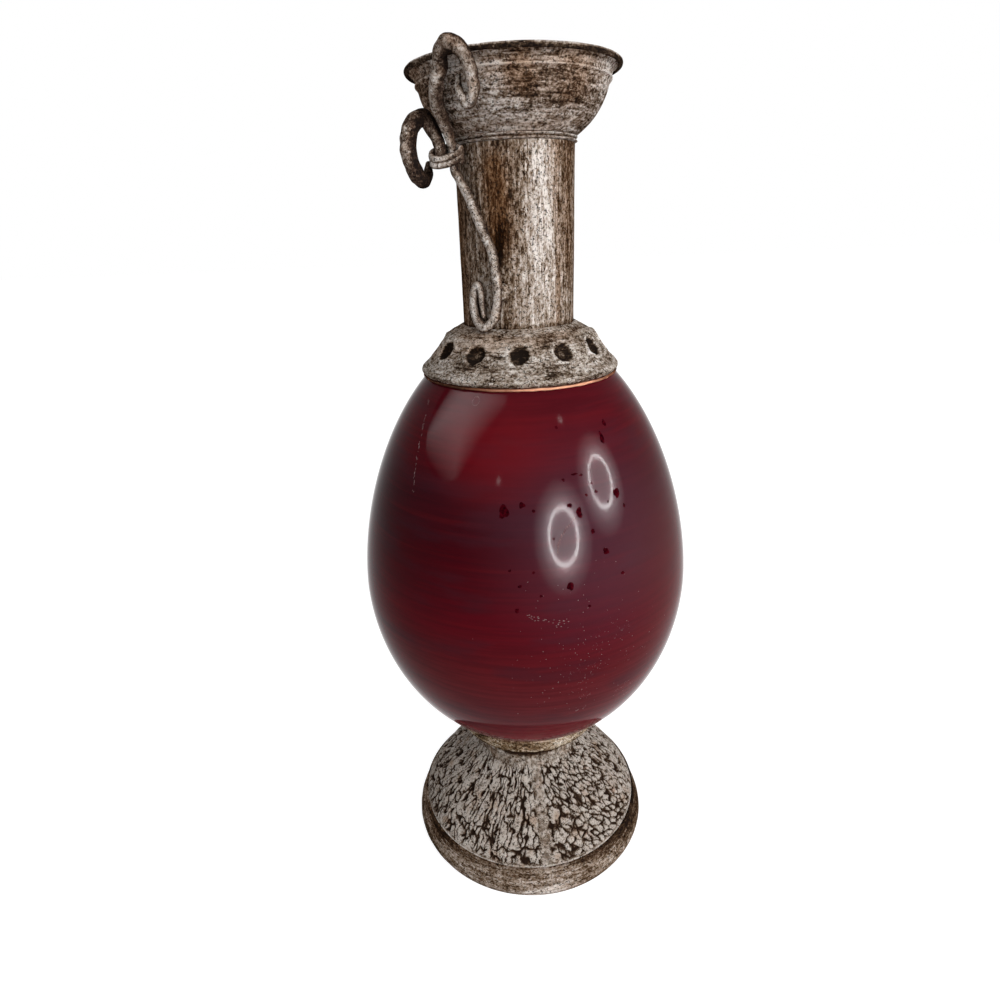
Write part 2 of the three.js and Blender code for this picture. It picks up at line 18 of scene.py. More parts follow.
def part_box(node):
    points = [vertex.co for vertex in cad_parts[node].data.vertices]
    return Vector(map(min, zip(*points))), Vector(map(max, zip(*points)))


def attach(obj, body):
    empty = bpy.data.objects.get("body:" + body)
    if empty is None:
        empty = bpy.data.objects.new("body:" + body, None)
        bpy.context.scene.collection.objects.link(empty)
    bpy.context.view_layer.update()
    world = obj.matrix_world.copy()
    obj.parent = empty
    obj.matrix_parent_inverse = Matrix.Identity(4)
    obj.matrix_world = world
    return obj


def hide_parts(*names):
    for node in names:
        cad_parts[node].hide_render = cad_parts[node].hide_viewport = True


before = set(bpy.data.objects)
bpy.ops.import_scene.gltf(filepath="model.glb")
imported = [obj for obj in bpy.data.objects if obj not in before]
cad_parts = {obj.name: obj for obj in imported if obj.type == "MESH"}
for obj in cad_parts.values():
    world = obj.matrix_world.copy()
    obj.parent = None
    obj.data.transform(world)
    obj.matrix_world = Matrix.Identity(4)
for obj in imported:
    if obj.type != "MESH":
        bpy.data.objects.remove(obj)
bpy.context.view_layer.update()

# %% [markdown]
# ## Sizes
#
# A maker thinks in millimetres and Blender in metres, so one number converts them. Heights
# are read from the solids, so that each fine piece ends where its solid ends. An angle is
# counted round the vase from the front, positive to the right. All sheet but the seat's dish
# has one thickness, and a small gap is kept between most pieces that lie on each other.

# %% Sizes from the solids
MM = 0.001
SHEET = 1.6
GAP = 0.3


def add_object(name, data):
    thing = bpy.data.objects.new(name, data)
    bpy.context.scene.collection.objects.link(thing)
    return thing


def bottom(node):
    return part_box(node)[0].z / MM


def top(node):
    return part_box(node)[1].z / MM


print("rim at", round(top("rim_wire"), 1), "mm, body from", round(bottom("body_lower_shell"), 1))

# %% [markdown]
# ## Camera
#
# The camera stands a little above the middle of the neck and looks down at the vase with a
# wide lens. That is why the foot shows its upper side and the cup its underside. It leans
# about two degrees, as the camera did that took the photograph.

# %% Camera
PITCH = math.radians(22.872)
ROLL = math.radians(-2.148)
ahead = Vector((0, math.cos(PITCH), -math.sin(PITCH)))
level = Vector((1, 0, 0))
upward = Vector((0, math.sin(PITCH), math.cos(PITCH)))
across = level * math.cos(ROLL) + upward * math.sin(ROLL)
above = upward * math.cos(ROLL) - level * math.sin(ROLL)
eye = Vector((-0.014208, -0.375984, 0.408864))

lens = bpy.data.cameras.new("photo_camera")
lens.lens = 23.4
lens.sensor_width = 36
lens.sensor_fit = "HORIZONTAL"
lens.clip_start = 0.01
camera = add_object("photo_camera", lens)
turned_axes = Matrix((across, above, -ahead)).transposed().to_4x4()
camera.matrix_world = Matrix.Translation(eye) @ turned_axes
bpy.context.scene.camera = camera
bpy.context.scene.view_settings.view_transform = "Standard"


def sight(x, y):
    """Direction in which the camera sees a place of the 1000 by 1000 picture."""
    focal = lens.lens / lens.sensor_width * 1000
    return (ahead * focal + across * (x - 500) + above * (500 - y)).normalized()


print("camera at", [round(v, 3) for v in camera.location])

# %% [markdown]
# ## Turned pieces
#
# Sheet pieces of this kind are spun over a form, so each is an outline that goes once round
# the axis. The outline is kept as [radius, height] places in millimetres, and a smooth line
# is drawn through them. The outer face may carry a relief, which moves it in or out by a
# distance for each point, and marks, which are numbers that the finish reads later, such as
# how deep in a crevice a point lies. The inner face is a second material, because it is raw.

# %% Helpers for turned pieces
def smooth(places, count):
    """Points on a smooth line through [radius, height] places."""
    p = np.array([places[0], *places, places[-1]], float)
    line = []
    for step in np.linspace(0, len(places) - 1, count + 1):
        i = min(int(step), len(places) - 2)
        f = step - i
        a, b, c, d = p[i:i + 4]
        lead, trail = (c - a) / 2, (d - b) / 2
        cubic = 2 * b - 2 * c + lead + trail
        square = 3 * c - 3 * b - 2 * lead - trail
        line.append(((cubic * f + square) * f + lead) * f + b)
    return np.array(line)


def outwards(line):
    """Unit vectors square to a line of [radius, height] points."""
    step = np.gradient(line, axis=0)
    step /= np.linalg.norm(step, axis=1)[:, None]
    return np.column_stack([step[:, 1], -step[:, 0]])


def wall_inside(line, thickness=SHEET):
    """The same line one sheet further in, from top to bottom, ending level with it."""
    inner = line - outwards(line) * thickness
    inner[0, 1], inner[-1, 1] = line[0, 1], line[-1, 1]
    return inner[::-1]


class Face:
    """Angles, places and distances of all points on an outer face."""

    def __init__(self, line, sides):
        self.sides = sides
        self.line = np.array(line, float)
        turn = np.arange(sides) * 2 * math.pi / sides
        turn = np.where(turn > math.pi, turn - 2 * math.pi, turn)
        rows = len(self.line)
        self.turn = np.tile(turn, (rows, 1))
        self.degrees = np.degrees(self.turn)
        self.radius = np.repeat(self.line[:, :1], sides, axis=1)
        self.height = np.repeat(self.line[:, 1:], sides, axis=1)
        gaps = np.linalg.norm(np.diff(self.line, axis=0), axis=1)
        self.length = np.concatenate([[0], np.cumsum(gaps)])
        self.along = np.repeat(self.length[:, None], sides, axis=1)

    def places(self):
        x = self.radius * np.sin(self.turn)
        y = -self.radius * np.cos(self.turn)
        return np.stack([x, y, self.height], axis=-1)


def ease(value, low, high):
    """Rises smoothly from 0 at low to 1 at high."""
    share = np.clip((value - low) / (high - low), 0, 1)
    return share * share * (3 - 2 * share)


def hump(value, middle, width):
    """1 at a middle, fading to 0 over a width on both sides."""
    return np.exp(-(((value - middle) / width) ** 2))


def lumps(places, size, seed=0.0):
    """Soft noise from -1 to 1 with lumps of about the given size, for each place."""
    flat = places.reshape(-1, places.shape[-1]) / size
    if flat.shape[1] == 2:
        flat = np.column_stack([flat, np.zeros(len(flat))])
    shift = Vector((seed, 0.37 * seed, 1.9 * seed))
    values = [noise.noise(Vector(p) + shift) for p in flat]
    return np.array(values).reshape(places.shape[:-1])


def around_axis(degrees, turn_degrees, width):
    """1 at an angle round the vase, fading to 0 over a width, both in degrees."""
    away = (degrees - turn_degrees + 180) % 360 - 180
    return hump(away, 0, width)


def new_piece(name, places, faces, slot, *nodes):
    """Makes a mesh piece that rides on the vase and stands for the named solids."""
    mesh = bpy.data.meshes.new(name)
    mesh.from_pydata((np.asarray(places) * MM).tolist(), [], faces)
    mesh.polygons.foreach_set("use_smooth", [True] * len(mesh.polygons))
    mesh.set_sharp_from_angle(angle=math.radians(50))
    piece = add_object(name, mesh)
    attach(piece, "root")
    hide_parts(*nodes)
    return piece


def turned(name, face, inner, slot, *nodes, relief=None, pressed=None):
    """Carries an outline once round the axis, with a relief on its outer face.

    pressed is a relief that goes right through the sheet, so it moves both faces."""
    outer_rows, sides = face.turn.shape
    line = np.vstack([face.line, inner])
    lift = np.zeros((len(line), sides))
    away = np.vstack([outwards(face.line), np.zeros_like(inner)])
    if relief is not None:
        lift[:outer_rows] = relief
    if pressed is not None:
        lift[:outer_rows] += pressed
        lift[outer_rows:] = pressed[::-1]
        away[outer_rows:] = outwards(face.line)[::-1]
    radius = line[:, :1] + away[:, :1] * lift
    height = line[:, 1:] + away[:, 1:] * lift
    turn = face.turn[0]
    places = np.stack([radius * np.sin(turn), -radius * np.cos(turn), height], axis=-1)
    here = np.arange(sides)
    right = (here + 1) % sides
    faces = []
    for row in range(len(line)):
        upper = (row + 1) % len(line)
        faces += np.column_stack(
            [row * sides + here, row * sides + right, upper * sides + right, upper * sides + here]
        ).tolist()
    piece = new_piece(name, places.reshape(-1, 3), faces, slot, *nodes)
    inside = np.arange(len(faces)) >= outer_rows * sides
    piece.data.polygons.foreach_set("material_index", inside.astype(np.int32))
    print(name, len(faces), "faces")
    return piece


def mark(piece, **marks):
    """Keeps numbers for each point of the outer face, for the finish to read."""
    for name, values in marks.items():
        numbers = np.zeros(len(piece.data.vertices), np.float32)
        numbers[:values.size] = values.ravel()
        piece.data.attributes.new(name, "FLOAT", "POINT").data.foreach_set("value", numbers)


# %% [markdown]
# ## Plinth
# The plinth is a spun ring with a rolled band. It stands on a narrow hem that is turned in
# along the floor, and its top is turned in as a ledge for the foot. The band is a little
# uneven where it was planished, which a shallow relief gives. Where the foot's seam meets
# the ring there is a rubbed patch of solder. Painted shade darkens the ring towards its sides
# and in the groove under the foot and along the floor, and a painted highlight lies on the
# bulge of the band.

# %% Plinth
BAND = 83.0
LEDGE_HOLE = 68.7
SEAM_TURN = 5.8
plinth_top = top("foot_plinth")
plinth_line = smooth(
    [
        [BAND - 1.5, 0], [BAND, plinth_top * 0.22], [BAND - 1.6, plinth_top * 0.5],
        [BAND - 4, plinth_top * 0.72], [BAND - 5, plinth_top],
    ],
    44,
)
ledge = [[BAND - 9, plinth_top], [LEDGE_HOLE, plinth_top]]
plinth_face = Face(np.vstack([plinth_line, ledge]), 288)
plinth_inside = [
    [LEDGE_HOLE, plinth_top - SHEET], [BAND - 6.6, plinth_top - SHEET],
    [BAND - 3.2, plinth_top * 0.5], [BAND - 3.1, SHEET], [BAND - 6.5, SHEET], [BAND - 6.5, 0],
]
plinth_spots = plinth_face.places()
uneven = 0.22 * lumps(plinth_spots, 14, 3.0) + 0.12 * lumps(plinth_spots, 4, 8.0)
uneven *= ease(plinth_face.height, 0, 2) * (1 - ease(plinth_face.along, 20, 21.5))
solder = around_axis(plinth_face.degrees, SEAM_TURN, 3.2) * ease(plinth_face.height, 1, 5)
uneven += 0.25 * solder * (1 - ease(plinth_face.along, 17, 20))
plinth = turned(
    "plinth", plinth_face, plinth_inside, "patinated_metal", "foot_plinth", relief=uneven
)
# Painted shade: the ring is darkened towards both sides. The marks below also lighten the solder
# patch, darken the groove under the foot and the strip along the floor with painted shade, and
# lighten the bulge of the band as a painted highlight.
shaded_sides = around_axis(plinth_face.degrees, 66, 38)
shaded_sides += 0.5 * around_axis(plinth_face.degrees, -66, 30)
mark(
    plinth,
    rubbed=0.55 * solder - 1.9 * shaded_sides,
    crevice=ease(plinth_face.along, 13.5, 17.5) + 0.6 * (1 - ease(plinth_face.height, 0, 1.5)),
    crest=hump(plinth_face.height, 4.5, 2.6),
)

# %% [markdown]
# ## Foot
#
# The foot is a cone whose sheet was beaten over a rough stake, so its skin looks like bark:
# pale raised plates between dark crevices. Where a stretched noise passes through zero it
# draws long winding lines, and these are the crevices of the left half. On the right they
# break up into short blocks, which come from the edges of warped cells. It is real relief,
# because it shows on the outline and in the shading.

# %% Foot with its bark relief
foot_low, foot_high = bottom("foot_cone"), top("foot_cone")
foot_tall = foot_high - foot_low
STEM = 34.3
foot_line = smooth(
    [
        [76.7, foot_low], [65.25, foot_low + foot_tall * 0.26], [44.9, foot_low + foot_tall * 0.56],
        [STEM + 1.9, foot_high - 18], [STEM, foot_high - 8.1], [STEM, foot_high],
    ],
    184,
)
foot_face = Face(foot_line, 840)
MEAN_FOOT_RADIUS = 62


def cell_edges(across_mm, down_mm, wide, tall, seed):
    """Distance to the nearest edge between cells of the given width and height."""
    flat = np.column_stack([across_mm.ravel() / wide, down_mm.ravel() / tall])
    edge = []
    for u, v in flat:
        near = noise.voronoi(Vector((u, v, seed)))[0]
        edge.append(near[1] - near[0])
    return np.array(edge).reshape(across_mm.shape)


round_mm = foot_face.turn * MEAN_FOOT_RADIUS
down_mm = foot_face.along
flat_places = np.stack([round_mm, down_mm], axis=-1)
wander = 1.3 * lumps(flat_places, 6, 1.0) + 0.9 * lumps(flat_places, 2.2, 2.0)
sway = 1.6 * lumps(flat_places, 8, 5.0) + 0.8 * lumps(flat_places, 2.6, 12.0)
long_lines = np.stack([(round_mm + wander) / 3.1, (down_mm + sway) / 12.5], axis=-1)
winding = np.abs(lumps(long_lines, 1, 3.0))
short_lines = np.stack([(round_mm + wander) / 6, (down_mm + 1.5 * sway) / 5], axis=-1)
crossing = np.abs(lumps(short_lines, 1, 17.0)) + ease(lumps(flat_places, 6, 21.0), -0.1, 0.25)
blocks = cell_edges(round_mm + wander + 0.5 * down_mm, down_mm + sway, 4.0, 5.8, 6.3)
to_blocks = 0.85 * ease(foot_face.degrees, 2, 20) * (1 - ease(foot_face.degrees, 60, 100))
crack_width = np.clip(0.17 + 0.12 * lumps(flat_places, 6, 9.0), 0.04, 1)
between_lines = np.minimum(winding / crack_width, crossing / crack_width * 0.9)
raised = np.clip(between_lines * (1 - to_blocks) + blocks / (1.4 * crack_width) * to_blocks, 0, 1)
raised = raised * raised * (3 - 2 * raised)

# %% [markdown]
# The seam, the lower edge and the stem stay smooth, so the bark fades out there.

# %% Smooth places of the foot
seam_away = np.abs((foot_face.degrees - SEAM_TURN) * math.pi / 180 * foot_face.radius)
seam = 1 - ease(seam_away + 1.6 * lumps(flat_places, 4, 4.0), 2.4, 4.6)
edge_strip = 1 - ease(down_mm, 0.8, 2.6)
stem_strip = ease(foot_face.height + 2.5 * lumps(flat_places, 5, 7.0), 62, 69)
calm = np.maximum(np.maximum(0.92 * seam, edge_strip), stem_strip)
steps_of_seam = 0.12 * np.sin(down_mm * 3.1 + 2 * lumps(flat_places, 6, 31.0)) * seam
bark_relief = (raised - 0.85) * 1.3 * (1 - calm)
bark_relief += 0.3 * lumps(foot_face.places(), 9, 11.0) * (1 - edge_strip)
bark_relief += 0.22 * lumps(foot_face.places(), 2.2, 15.0) * raised * (1 - edge_strip) + steps_of_seam
bark_relief = np.minimum(bark_relief, 0.5)
foot = turned(
    "foot", foot_face, wall_inside(foot_line)[::4], "patinated_metal", "foot_cone", relief=bark_relief
)
mark(
    foot,
    raised=raised * (1 - calm) + calm * (0.62 + 0.3 * lumps(flat_places, 3, 14.0)),
    calm=calm,
    lower_edge=1 - ease(down_mm, 0.3, 1.1),
    # Painted shade: the top of the stem under the seat's band is darkened.
    under_seat=ease(foot_face.height + 1.5 * lumps(flat_places, 4, 41.0), 72.5, 76.5),
)

# %% [markdown]
# ## Seat
#
# Between stem and body sits a shallow dish. What shows is the rounded band round its edge,
# and under the band the dish turns in to the stem. Its upper face follows the body.

# %% Seat
BODY_RADIUS = 100.5
BODY_LOWER_HEIGHT, LOWER_FULLNESS = 119.3, 1.95
BODY_UPPER_HEIGHT, UPPER_FULLNESS = 152.6, 1.75
BOLT_HOLE = 4.3
DISH_DROP = 3.3
waist_height = bottom("stem_seat") + DISH_DROP + BODY_LOWER_HEIGHT
seat_edge = top("stem_seat")


def body_floor(radius):
    share = 1 - (radius / BODY_RADIUS) ** 2
    return waist_height - BODY_LOWER_HEIGHT * share ** (1 / LOWER_FULLNESS)


dish_under = [[r, body_floor(r) - DISH_DROP] for r in (BOLT_HOLE, 12, 20, 28, 36, 42)]
seat_line = smooth(
    [
        *dish_under,
        [45.2, seat_edge - 9.6], [47.4, seat_edge - 11], [49.4, seat_edge - 10],
        [50.2, seat_edge - 6.6], [49.9, seat_edge - 2], [49.2, seat_edge - 0.15],
    ],
    96,
)
seat_face = Face(seat_line, 216)
seat_top = [[r, body_floor(r) - GAP] for r in (48.6, 40, 30, 20, 12, BOLT_HOLE)]
seat_relief = 0.25 * lumps(seat_face.places(), 7, 2.0) * ease(seat_face.radius, 44, 47)
seat_relief -= 0.3 * np.abs(lumps(seat_face.places(), 3, 6.0)) * ease(seat_face.radius, 46, 49)
seat = turned("seat", seat_face, seat_top, "patinated_metal", "stem_seat", relief=seat_relief)
band_up = seat_face.height - (seat_edge - 11) + 0.8 * lumps(seat_face.places(), 3, 12.0)
# Painted shade: the lowest part of the band, where it turns in to the stem, is darkened.
mark(seat, undercut=1 - ease(band_up, 0.6, 2.6), top_edge=ease(band_up, 8.6, 10.4))

# %% [markdown]
# ## Body
#
# The body is an egg, widest low down, spun from sheet in two halves and then lacquered until
# the joint is gone. Each half of the outline is a rounded power curve, a little straighter
# than an ellipse. It stays perfectly smooth, so that its gloss shows no facets.

# %% Body
SHOULDER_HOLE = 36


def body_side(angle):
    radius = BODY_RADIUS * math.cos(angle)
    if angle < 0:
        return [radius, body_floor(radius)]
    share = 1 - (radius / BODY_RADIUS) ** 2
    return [radius, waist_height + BODY_UPPER_HEIGHT * share ** (1 / UPPER_FULLNESS)]


lowest = math.acos(BOLT_HOLE / BODY_RADIUS)
highest = math.acos(SHOULDER_HOLE / BODY_RADIUS)
body_line = np.array([body_side(a) for a in np.linspace(-lowest, highest, 181)])
body_face = Face(body_line, 288)
body_halves = ("body_lower_shell", "body_upper_shell")
body = turned("body", body_face, wall_inside(body_line), "red_lacquer", *body_halves)
print("body top", round(body_line[-1, 1], 2), "solid", round(top("body_upper_shell"), 2))

# %% [markdown]
# ## Joint line
#
# Between body and collar a thin bead of bare copper shows. It was brushed clean by hand, so
# its thickness wavers.

# %% Joint line
def ring_line(radius, height, thickness, count):
    """Points of a round section, from the inner side outwards and up."""
    angles = np.linspace(0, 2 * math.pi, count, endpoint=False) - math.pi
    reach = thickness / 2
    return np.column_stack([radius + reach * np.cos(angles), height + reach * np.sin(angles)])


JOINT_RADIUS, JOINT_BEAD = 54.5, 1.8
joint_height = (bottom("joint_ring") + top("joint_ring")) / 2
joint_face = Face(ring_line(JOINT_RADIUS, joint_height, JOINT_BEAD, 16), 240)
joint_relief = 0.35 * lumps(joint_face.places(), 4, 1.0) - 0.2


def closed_ring(name, face, slot, node, relief):
    """A ring of round section, made of its outer face alone."""
    return turned(name, face, np.empty((0, 2)), slot, node, relief=relief)


joint = closed_ring("joint_line", joint_face, "copper_joint", "joint_ring", joint_relief)

# %% [markdown]
# ## Collar
#
# The collar is a sheet ring with twelve dimples, each struck from outside with a round punch.
# The punch throws up a lip round the pit, and the lips on the right are the highest. Pit and
# lip are one relief that depends on the distance to the nearest punch mark.

# %% Collar with its dimples
collar_low, collar_high = bottom("shoulder_collar"), top("shoulder_collar")
collar_tall = collar_high - collar_low
slope_top, slope_foot = 31.6, 55.7
slope = slope_foot - slope_top
collar_line = smooth(
    [
        [54.9, collar_low], [slope_foot, collar_low + collar_tall * 0.1],
        [slope_top + slope * 0.77, collar_low + collar_tall * 0.32],
        [slope_top + slope * 0.57, collar_low + collar_tall * 0.56],
        [slope_top + slope * 0.39, collar_low + collar_tall * 0.78],
        [slope_top + slope * 0.15, collar_low + collar_tall * 0.92], [slope_top, collar_high],
    ],
    90,
)
collar_face = Face(collar_line, 480)
PUNCHES, FIRST_PUNCH = 12, -2
punch_along = collar_face.length[45]
pit, pit_tone, lip = (np.zeros_like(collar_face.turn) for _ in range(3))
ragged = 0.13 * lumps(collar_face.places(), 3.5, 33.0)
for k in range(PUNCHES):
    punched = FIRST_PUNCH + 360 / PUNCHES * k
    away = (collar_face.degrees - punched + 180) % 360 - 180
    sideways = np.radians(away) * collar_face.radius
    down = collar_face.along - punch_along
    distance = np.hypot(sideways, down) / (6.1 + 0.4 * math.sin(5.1 * k)) + ragged
    here = np.clip(1 - distance**2, 0, 1) ** 1.3
    pit = np.maximum(pit, here)
    rubbed_floor = 0.75 * abs(math.sin(1.9 * k)) * hump(distance, 0, 0.45)
    pit_tone = np.maximum(pit_tone, ease(1 - distance, 0.02, 0.3) - rubbed_floor)
    strong = 1.8 if k in (1, 2, 3) else 0.8
    side = 0.5 + 0.5 * np.sin(np.arctan2(down, sideways) - 0.9)
    lip += strong * (0.4 + 0.9 * side) * hump(distance, 1.14, 0.15)
hammered = 0.45 * lumps(collar_face.places(), 11, 4.0) + 0.2 * lumps(collar_face.places(), 4, 9.0)
low_ridge = hump(collar_face.along, collar_face.length[16], 0.55)
low_ridge *= around_axis(collar_face.degrees, 36, 13)
collar_relief = 0.5 * lip * (1 - pit) + hammered + 0.5 * low_ridge
at_ends = ease(collar_face.along, 0, 4) * (1 - ease(collar_face.along, 30, 34))
collar = turned(
    "collar",
    collar_face,
    wall_inside(collar_line),
    "patinated_metal",
    "shoulder_collar",
    relief=collar_relief * at_ends,
    pressed=-2.1 * pit * at_ends,
)
# Painted shade: a line along the foot of the collar, where it meets the body, is darkened. The same
# mark adds four dark spots.
SOOT_SPOTS = [(16, 353, 9, 3.5), (17, 341, 6, 4.5), (-36, 342, 12, 3), (33, 337, 14, 1.6)]
soot = 0.8 * hump(collar_face.height, collar_low, 1.6)
for degrees, height, wide, tall in SOOT_SPOTS:
    soot += around_axis(collar_face.degrees, degrees, wide) * hump(collar_face.height, height, tall)
mark(
    collar,
    pit=np.clip(pit_tone, 0, 1),
    lip=np.clip(0.6 * lip + low_ridge, 0, 1) * (1 - pit),
    soot=np.clip(soot, 0, 1),
)

# %% [markdown]
# ## Neck
#
# The neck is a straight tube. Its lower end is hidden in the collar. The tube is slightly
# dented, and it carries long stains that run down from the cup: a dark brown one left of the
# middle and a narrow one at the right edge.

# %% Neck
neck_low, neck_high = bottom("neck_tube"), top("neck_tube")
NECK = 30.7
neck_line = np.column_stack([np.full(81, NECK), np.linspace(neck_low, neck_high, 81)])
neck_face = Face(neck_line, 240)
neck_spots = neck_face.places()
dents = 0.12 * lumps(neck_spots, 16, 2.0) + 0.05 * lumps(neck_spots, 5, 5.0)
neck = turned(
    "neck", neck_face, wall_inside(neck_line), "patinated_metal", "neck_tube", relief=dents
)
up_neck = (neck_face.height - collar_high) / (neck_high - collar_high)
uneven_turn = neck_face.degrees + 5 * lumps(neck_spots * [1, 1, 0.25], 7, 3.0)
left_stain = around_axis(uneven_turn, -21, 14) * ease(up_neck, 0.3, 0.5)
left_stain *= 1 - 0.7 * ease(up_neck, 0.86, 1.0)
right_stain = 0.8 * around_axis(uneven_turn, 57, 12) * ease(up_neck, 0.1, 0.4)
far_left_stain = 0.7 * around_axis(uneven_turn, -78, 22) * (1 - 0.5 * ease(up_neck, 0.7, 0.95))
back_stain = 0.8 * around_axis(uneven_turn, 150, 16) * ease(up_neck, 0.2, 0.6)
# Painted shade: the neck is darkened beside the stem rod and its weld. The knock is a dark scratch.
soot_by_rod = around_axis(uneven_turn, -17, 6) * hump(neck_face.height, 396, 11)
knock = hump(neck_face.degrees + 5.8 + (neck_face.height - 407) * 1.1, 0, 1.4)
knock *= ease(neck_face.height, 401, 404) * (1 - ease(neck_face.height, 409, 412))
# The band at 20 degrees is rubbed metal with a painted highlight on it, and both ends of the tube are
# darkened with painted shade.
mark(
    neck,
    stain=np.clip(left_stain + 0.6 * right_stain + far_left_stain + back_stain, 0, 1),
    soot=np.clip(soot_by_rod + knock, 0, 1),
    rubbed=around_axis(uneven_turn, 20, 17) * (0.55 + 0.45 * ease(up_neck, 0.15, 0.4)),
    grime=(1 - ease(up_neck, 0.0, 0.035)) + 0.4 * ease(up_neck, 0.93, 1),
)

# %% [markdown]
# ## Beaded ring
#
# Two fine beads with a groove between them hide the solder joint of neck and cup.

# %% Beaded ring
bead_low, bead_high = bottom("cup_bead_ring"), top("cup_bead_ring")
BEAD = 31.9
bead_tall = bead_high - bead_low
bead_face = Face(
    smooth(
        [
            [BEAD - 0.8, bead_low], [BEAD, bead_low + bead_tall * 0.12],
            [BEAD - 0.1, bead_low + bead_tall * 0.26], [BEAD - 0.6, bead_low + bead_tall * 0.38],
            [BEAD - 0.7, bead_low + bead_tall * 0.6], [BEAD - 0.1, bead_low + bead_tall * 0.76],
            [BEAD, bead_low + bead_tall * 0.9], [BEAD - 0.6, bead_high],
        ],
        42,
    ),
    240,
)
bead_relief = 0.1 * lumps(bead_face.places(), 4, 1.0)
bead_inside = [[NECK - SHEET, bead_high], [NECK - SHEET, bead_low]]
bead_ring = turned(
    "beaded_ring", bead_face, bead_inside, "patinated_metal", "cup_bead_ring", relief=bead_relief
)
mark(bead_ring, groove=0.6 * hump((bead_face.height - bead_low) / bead_tall, 0.5, 0.13))

# %% [markdown]
# ## Cup and rim
#
# The cup is spun as a round bowl with an almost upright wall. A fine line is raised under the
# lip, and the lip flares over and ends under a rolled wire, so that no light comes through
# between them. Each is thin, so the outline has many points just there.

# %% Cup
cup_low, cup_high = bottom("mouth_cup"), top("mouth_cup")
CUP, CUP_FOOT, CUP_HEIGHT = 48.0, 31.5, 24.8
LINE_UP = 23.3
lip_low = cup_low + CUP_HEIGHT
cup_reach = CUP - CUP_FOOT
bowl = [
    [CUP_FOOT + cup_reach * out, cup_low + CUP_HEIGHT * up]
    for out, up in ((0, 0), (0.24, 0.12), (0.5, 0.28), (0.7, 0.46), (0.87, 0.68), (0.955, 0.86))
]
raised_line = [[48.1, cup_low + 22.6], [48.65, cup_low + LINE_UP], [48.3, cup_low + 24.2]]
lip_turn = [[48.4, lip_low + 0.6], [49, lip_low + 1.9], [49.9, lip_low + 3.1], [51.5, cup_high]]
cup_line = smooth(bowl + raised_line + lip_turn, 132)
cup_face = Face(cup_line, 288)
cup_relief = 0.16 * lumps(cup_face.places(), 12, 6.0) + 0.06 * lumps(cup_face.places(), 4, 2.0)
cup = turned(
    "cup", cup_face, wall_inside(cup_line), "patinated_metal", "mouth_cup", relief=cup_relief
)
up_cup = cup_face.height - cup_low
cup_spots = cup_face.places()
cup_turn = cup_face.degrees + 7 * lumps(cup_spots, 9, 3.0)
patch = around_axis(cup_turn, 2, 9) * ease(up_cup, 8, 15)
patch += 0.9 * around_axis(cup_turn, 34, 20) * ease(up_cup, 6, 12)
patch += 0.9 * around_axis(cup_turn, -78, 26) + 0.7 * around_axis(cup_turn, 175, 60)
blue = around_axis(cup_turn, -15, 9) * hump(cup_face.height, 457.5, 6)
blue += 0.7 * around_axis(cup_turn, 12, 8) * hump(cup_face.height, 455, 3.5)
mark(
    cup,
    ridge=hump(up_cup, LINE_UP, 0.5),
    under_lip=ease(up_cup, 24, 24.6) + 0.7 * hump(up_cup, 22.1, 0.5),
    brown_patch=np.clip(patch, 0, 1),
    blue_patch=np.clip(blue, 0, 1),
)

# %% Rolled rim wire
rim_low, rim_high = bottom("rim_wire"), top("rim_wire")
RIM_RADIUS, RIM_WIRE = 53.4, 2.6
rim_middle = (rim_low + rim_high) / 2
rim_face = Face(ring_line(RIM_RADIUS - RIM_WIRE / 2, rim_middle, RIM_WIRE, 20), 240)
rim_relief = 0.1 * lumps(rim_face.places(), 6, 3.0) - 0.05
rim = closed_ring("rim_wire_roll", rim_face, "patinated_metal", "rim_wire", rim_relief)
# Painted light: the upper half of the wire is lightened as a painted highlight, and the dark tone
# below stands for painted shade.
mark(rim, upper=ease(rim_face.height, rim_middle - 0.3, rim_high - 0.2))

# %% [markdown]
# ## Vine
#
# The vine is forged from round rod. The smith drew both ends out to a taper, bent a flat
# scroll, laid it on the neck and hooked the other end over the rim. Each station gives the
# angle round the vase, the radius, the height and the thickness there. A smooth line goes
# through the stations, rings of points are set along it, and their size varies a little as
# hammered rod does.

# %% Rods along stations
def beside(degrees, radius, height):
    turn = math.radians(degrees)
    return np.array([radius * math.sin(turn), -radius * math.cos(turn), height])


SPAN_STEPS = 24


def through(points):
    """Closely spaced points and shares along a smooth line through the given ones."""
    ends = [2 * points[0] - points[1], *points, 2 * points[-1] - points[-2]]
    line, share = [], []
    for i in range(len(points) - 1):
        a, b, c, d = ends[i:i + 4]
        t1, t2, t3 = (max(np.linalg.norm(q - p), 1e-6) ** 0.5 for p, q in ((a, b), (b, c), (c, d)))
        lead = ((b - a) / t1 - (c - a) / (t1 + t2) + (c - b) / t2) * t2
        trail = ((c - b) / t2 - (d - b) / (t2 + t3) + (d - c) / t3) * t2
        for f in np.arange(SPAN_STEPS) / SPAN_STEPS:
            cubic = (2 * b - 2 * c + lead + trail) * f + (3 * c - 3 * b - 2 * lead - trail)
            line.append((cubic * f + lead) * f + b)
            share.append(i + f)
    return np.array(line + [points[-1]]), np.array(share + [len(points) - 1])


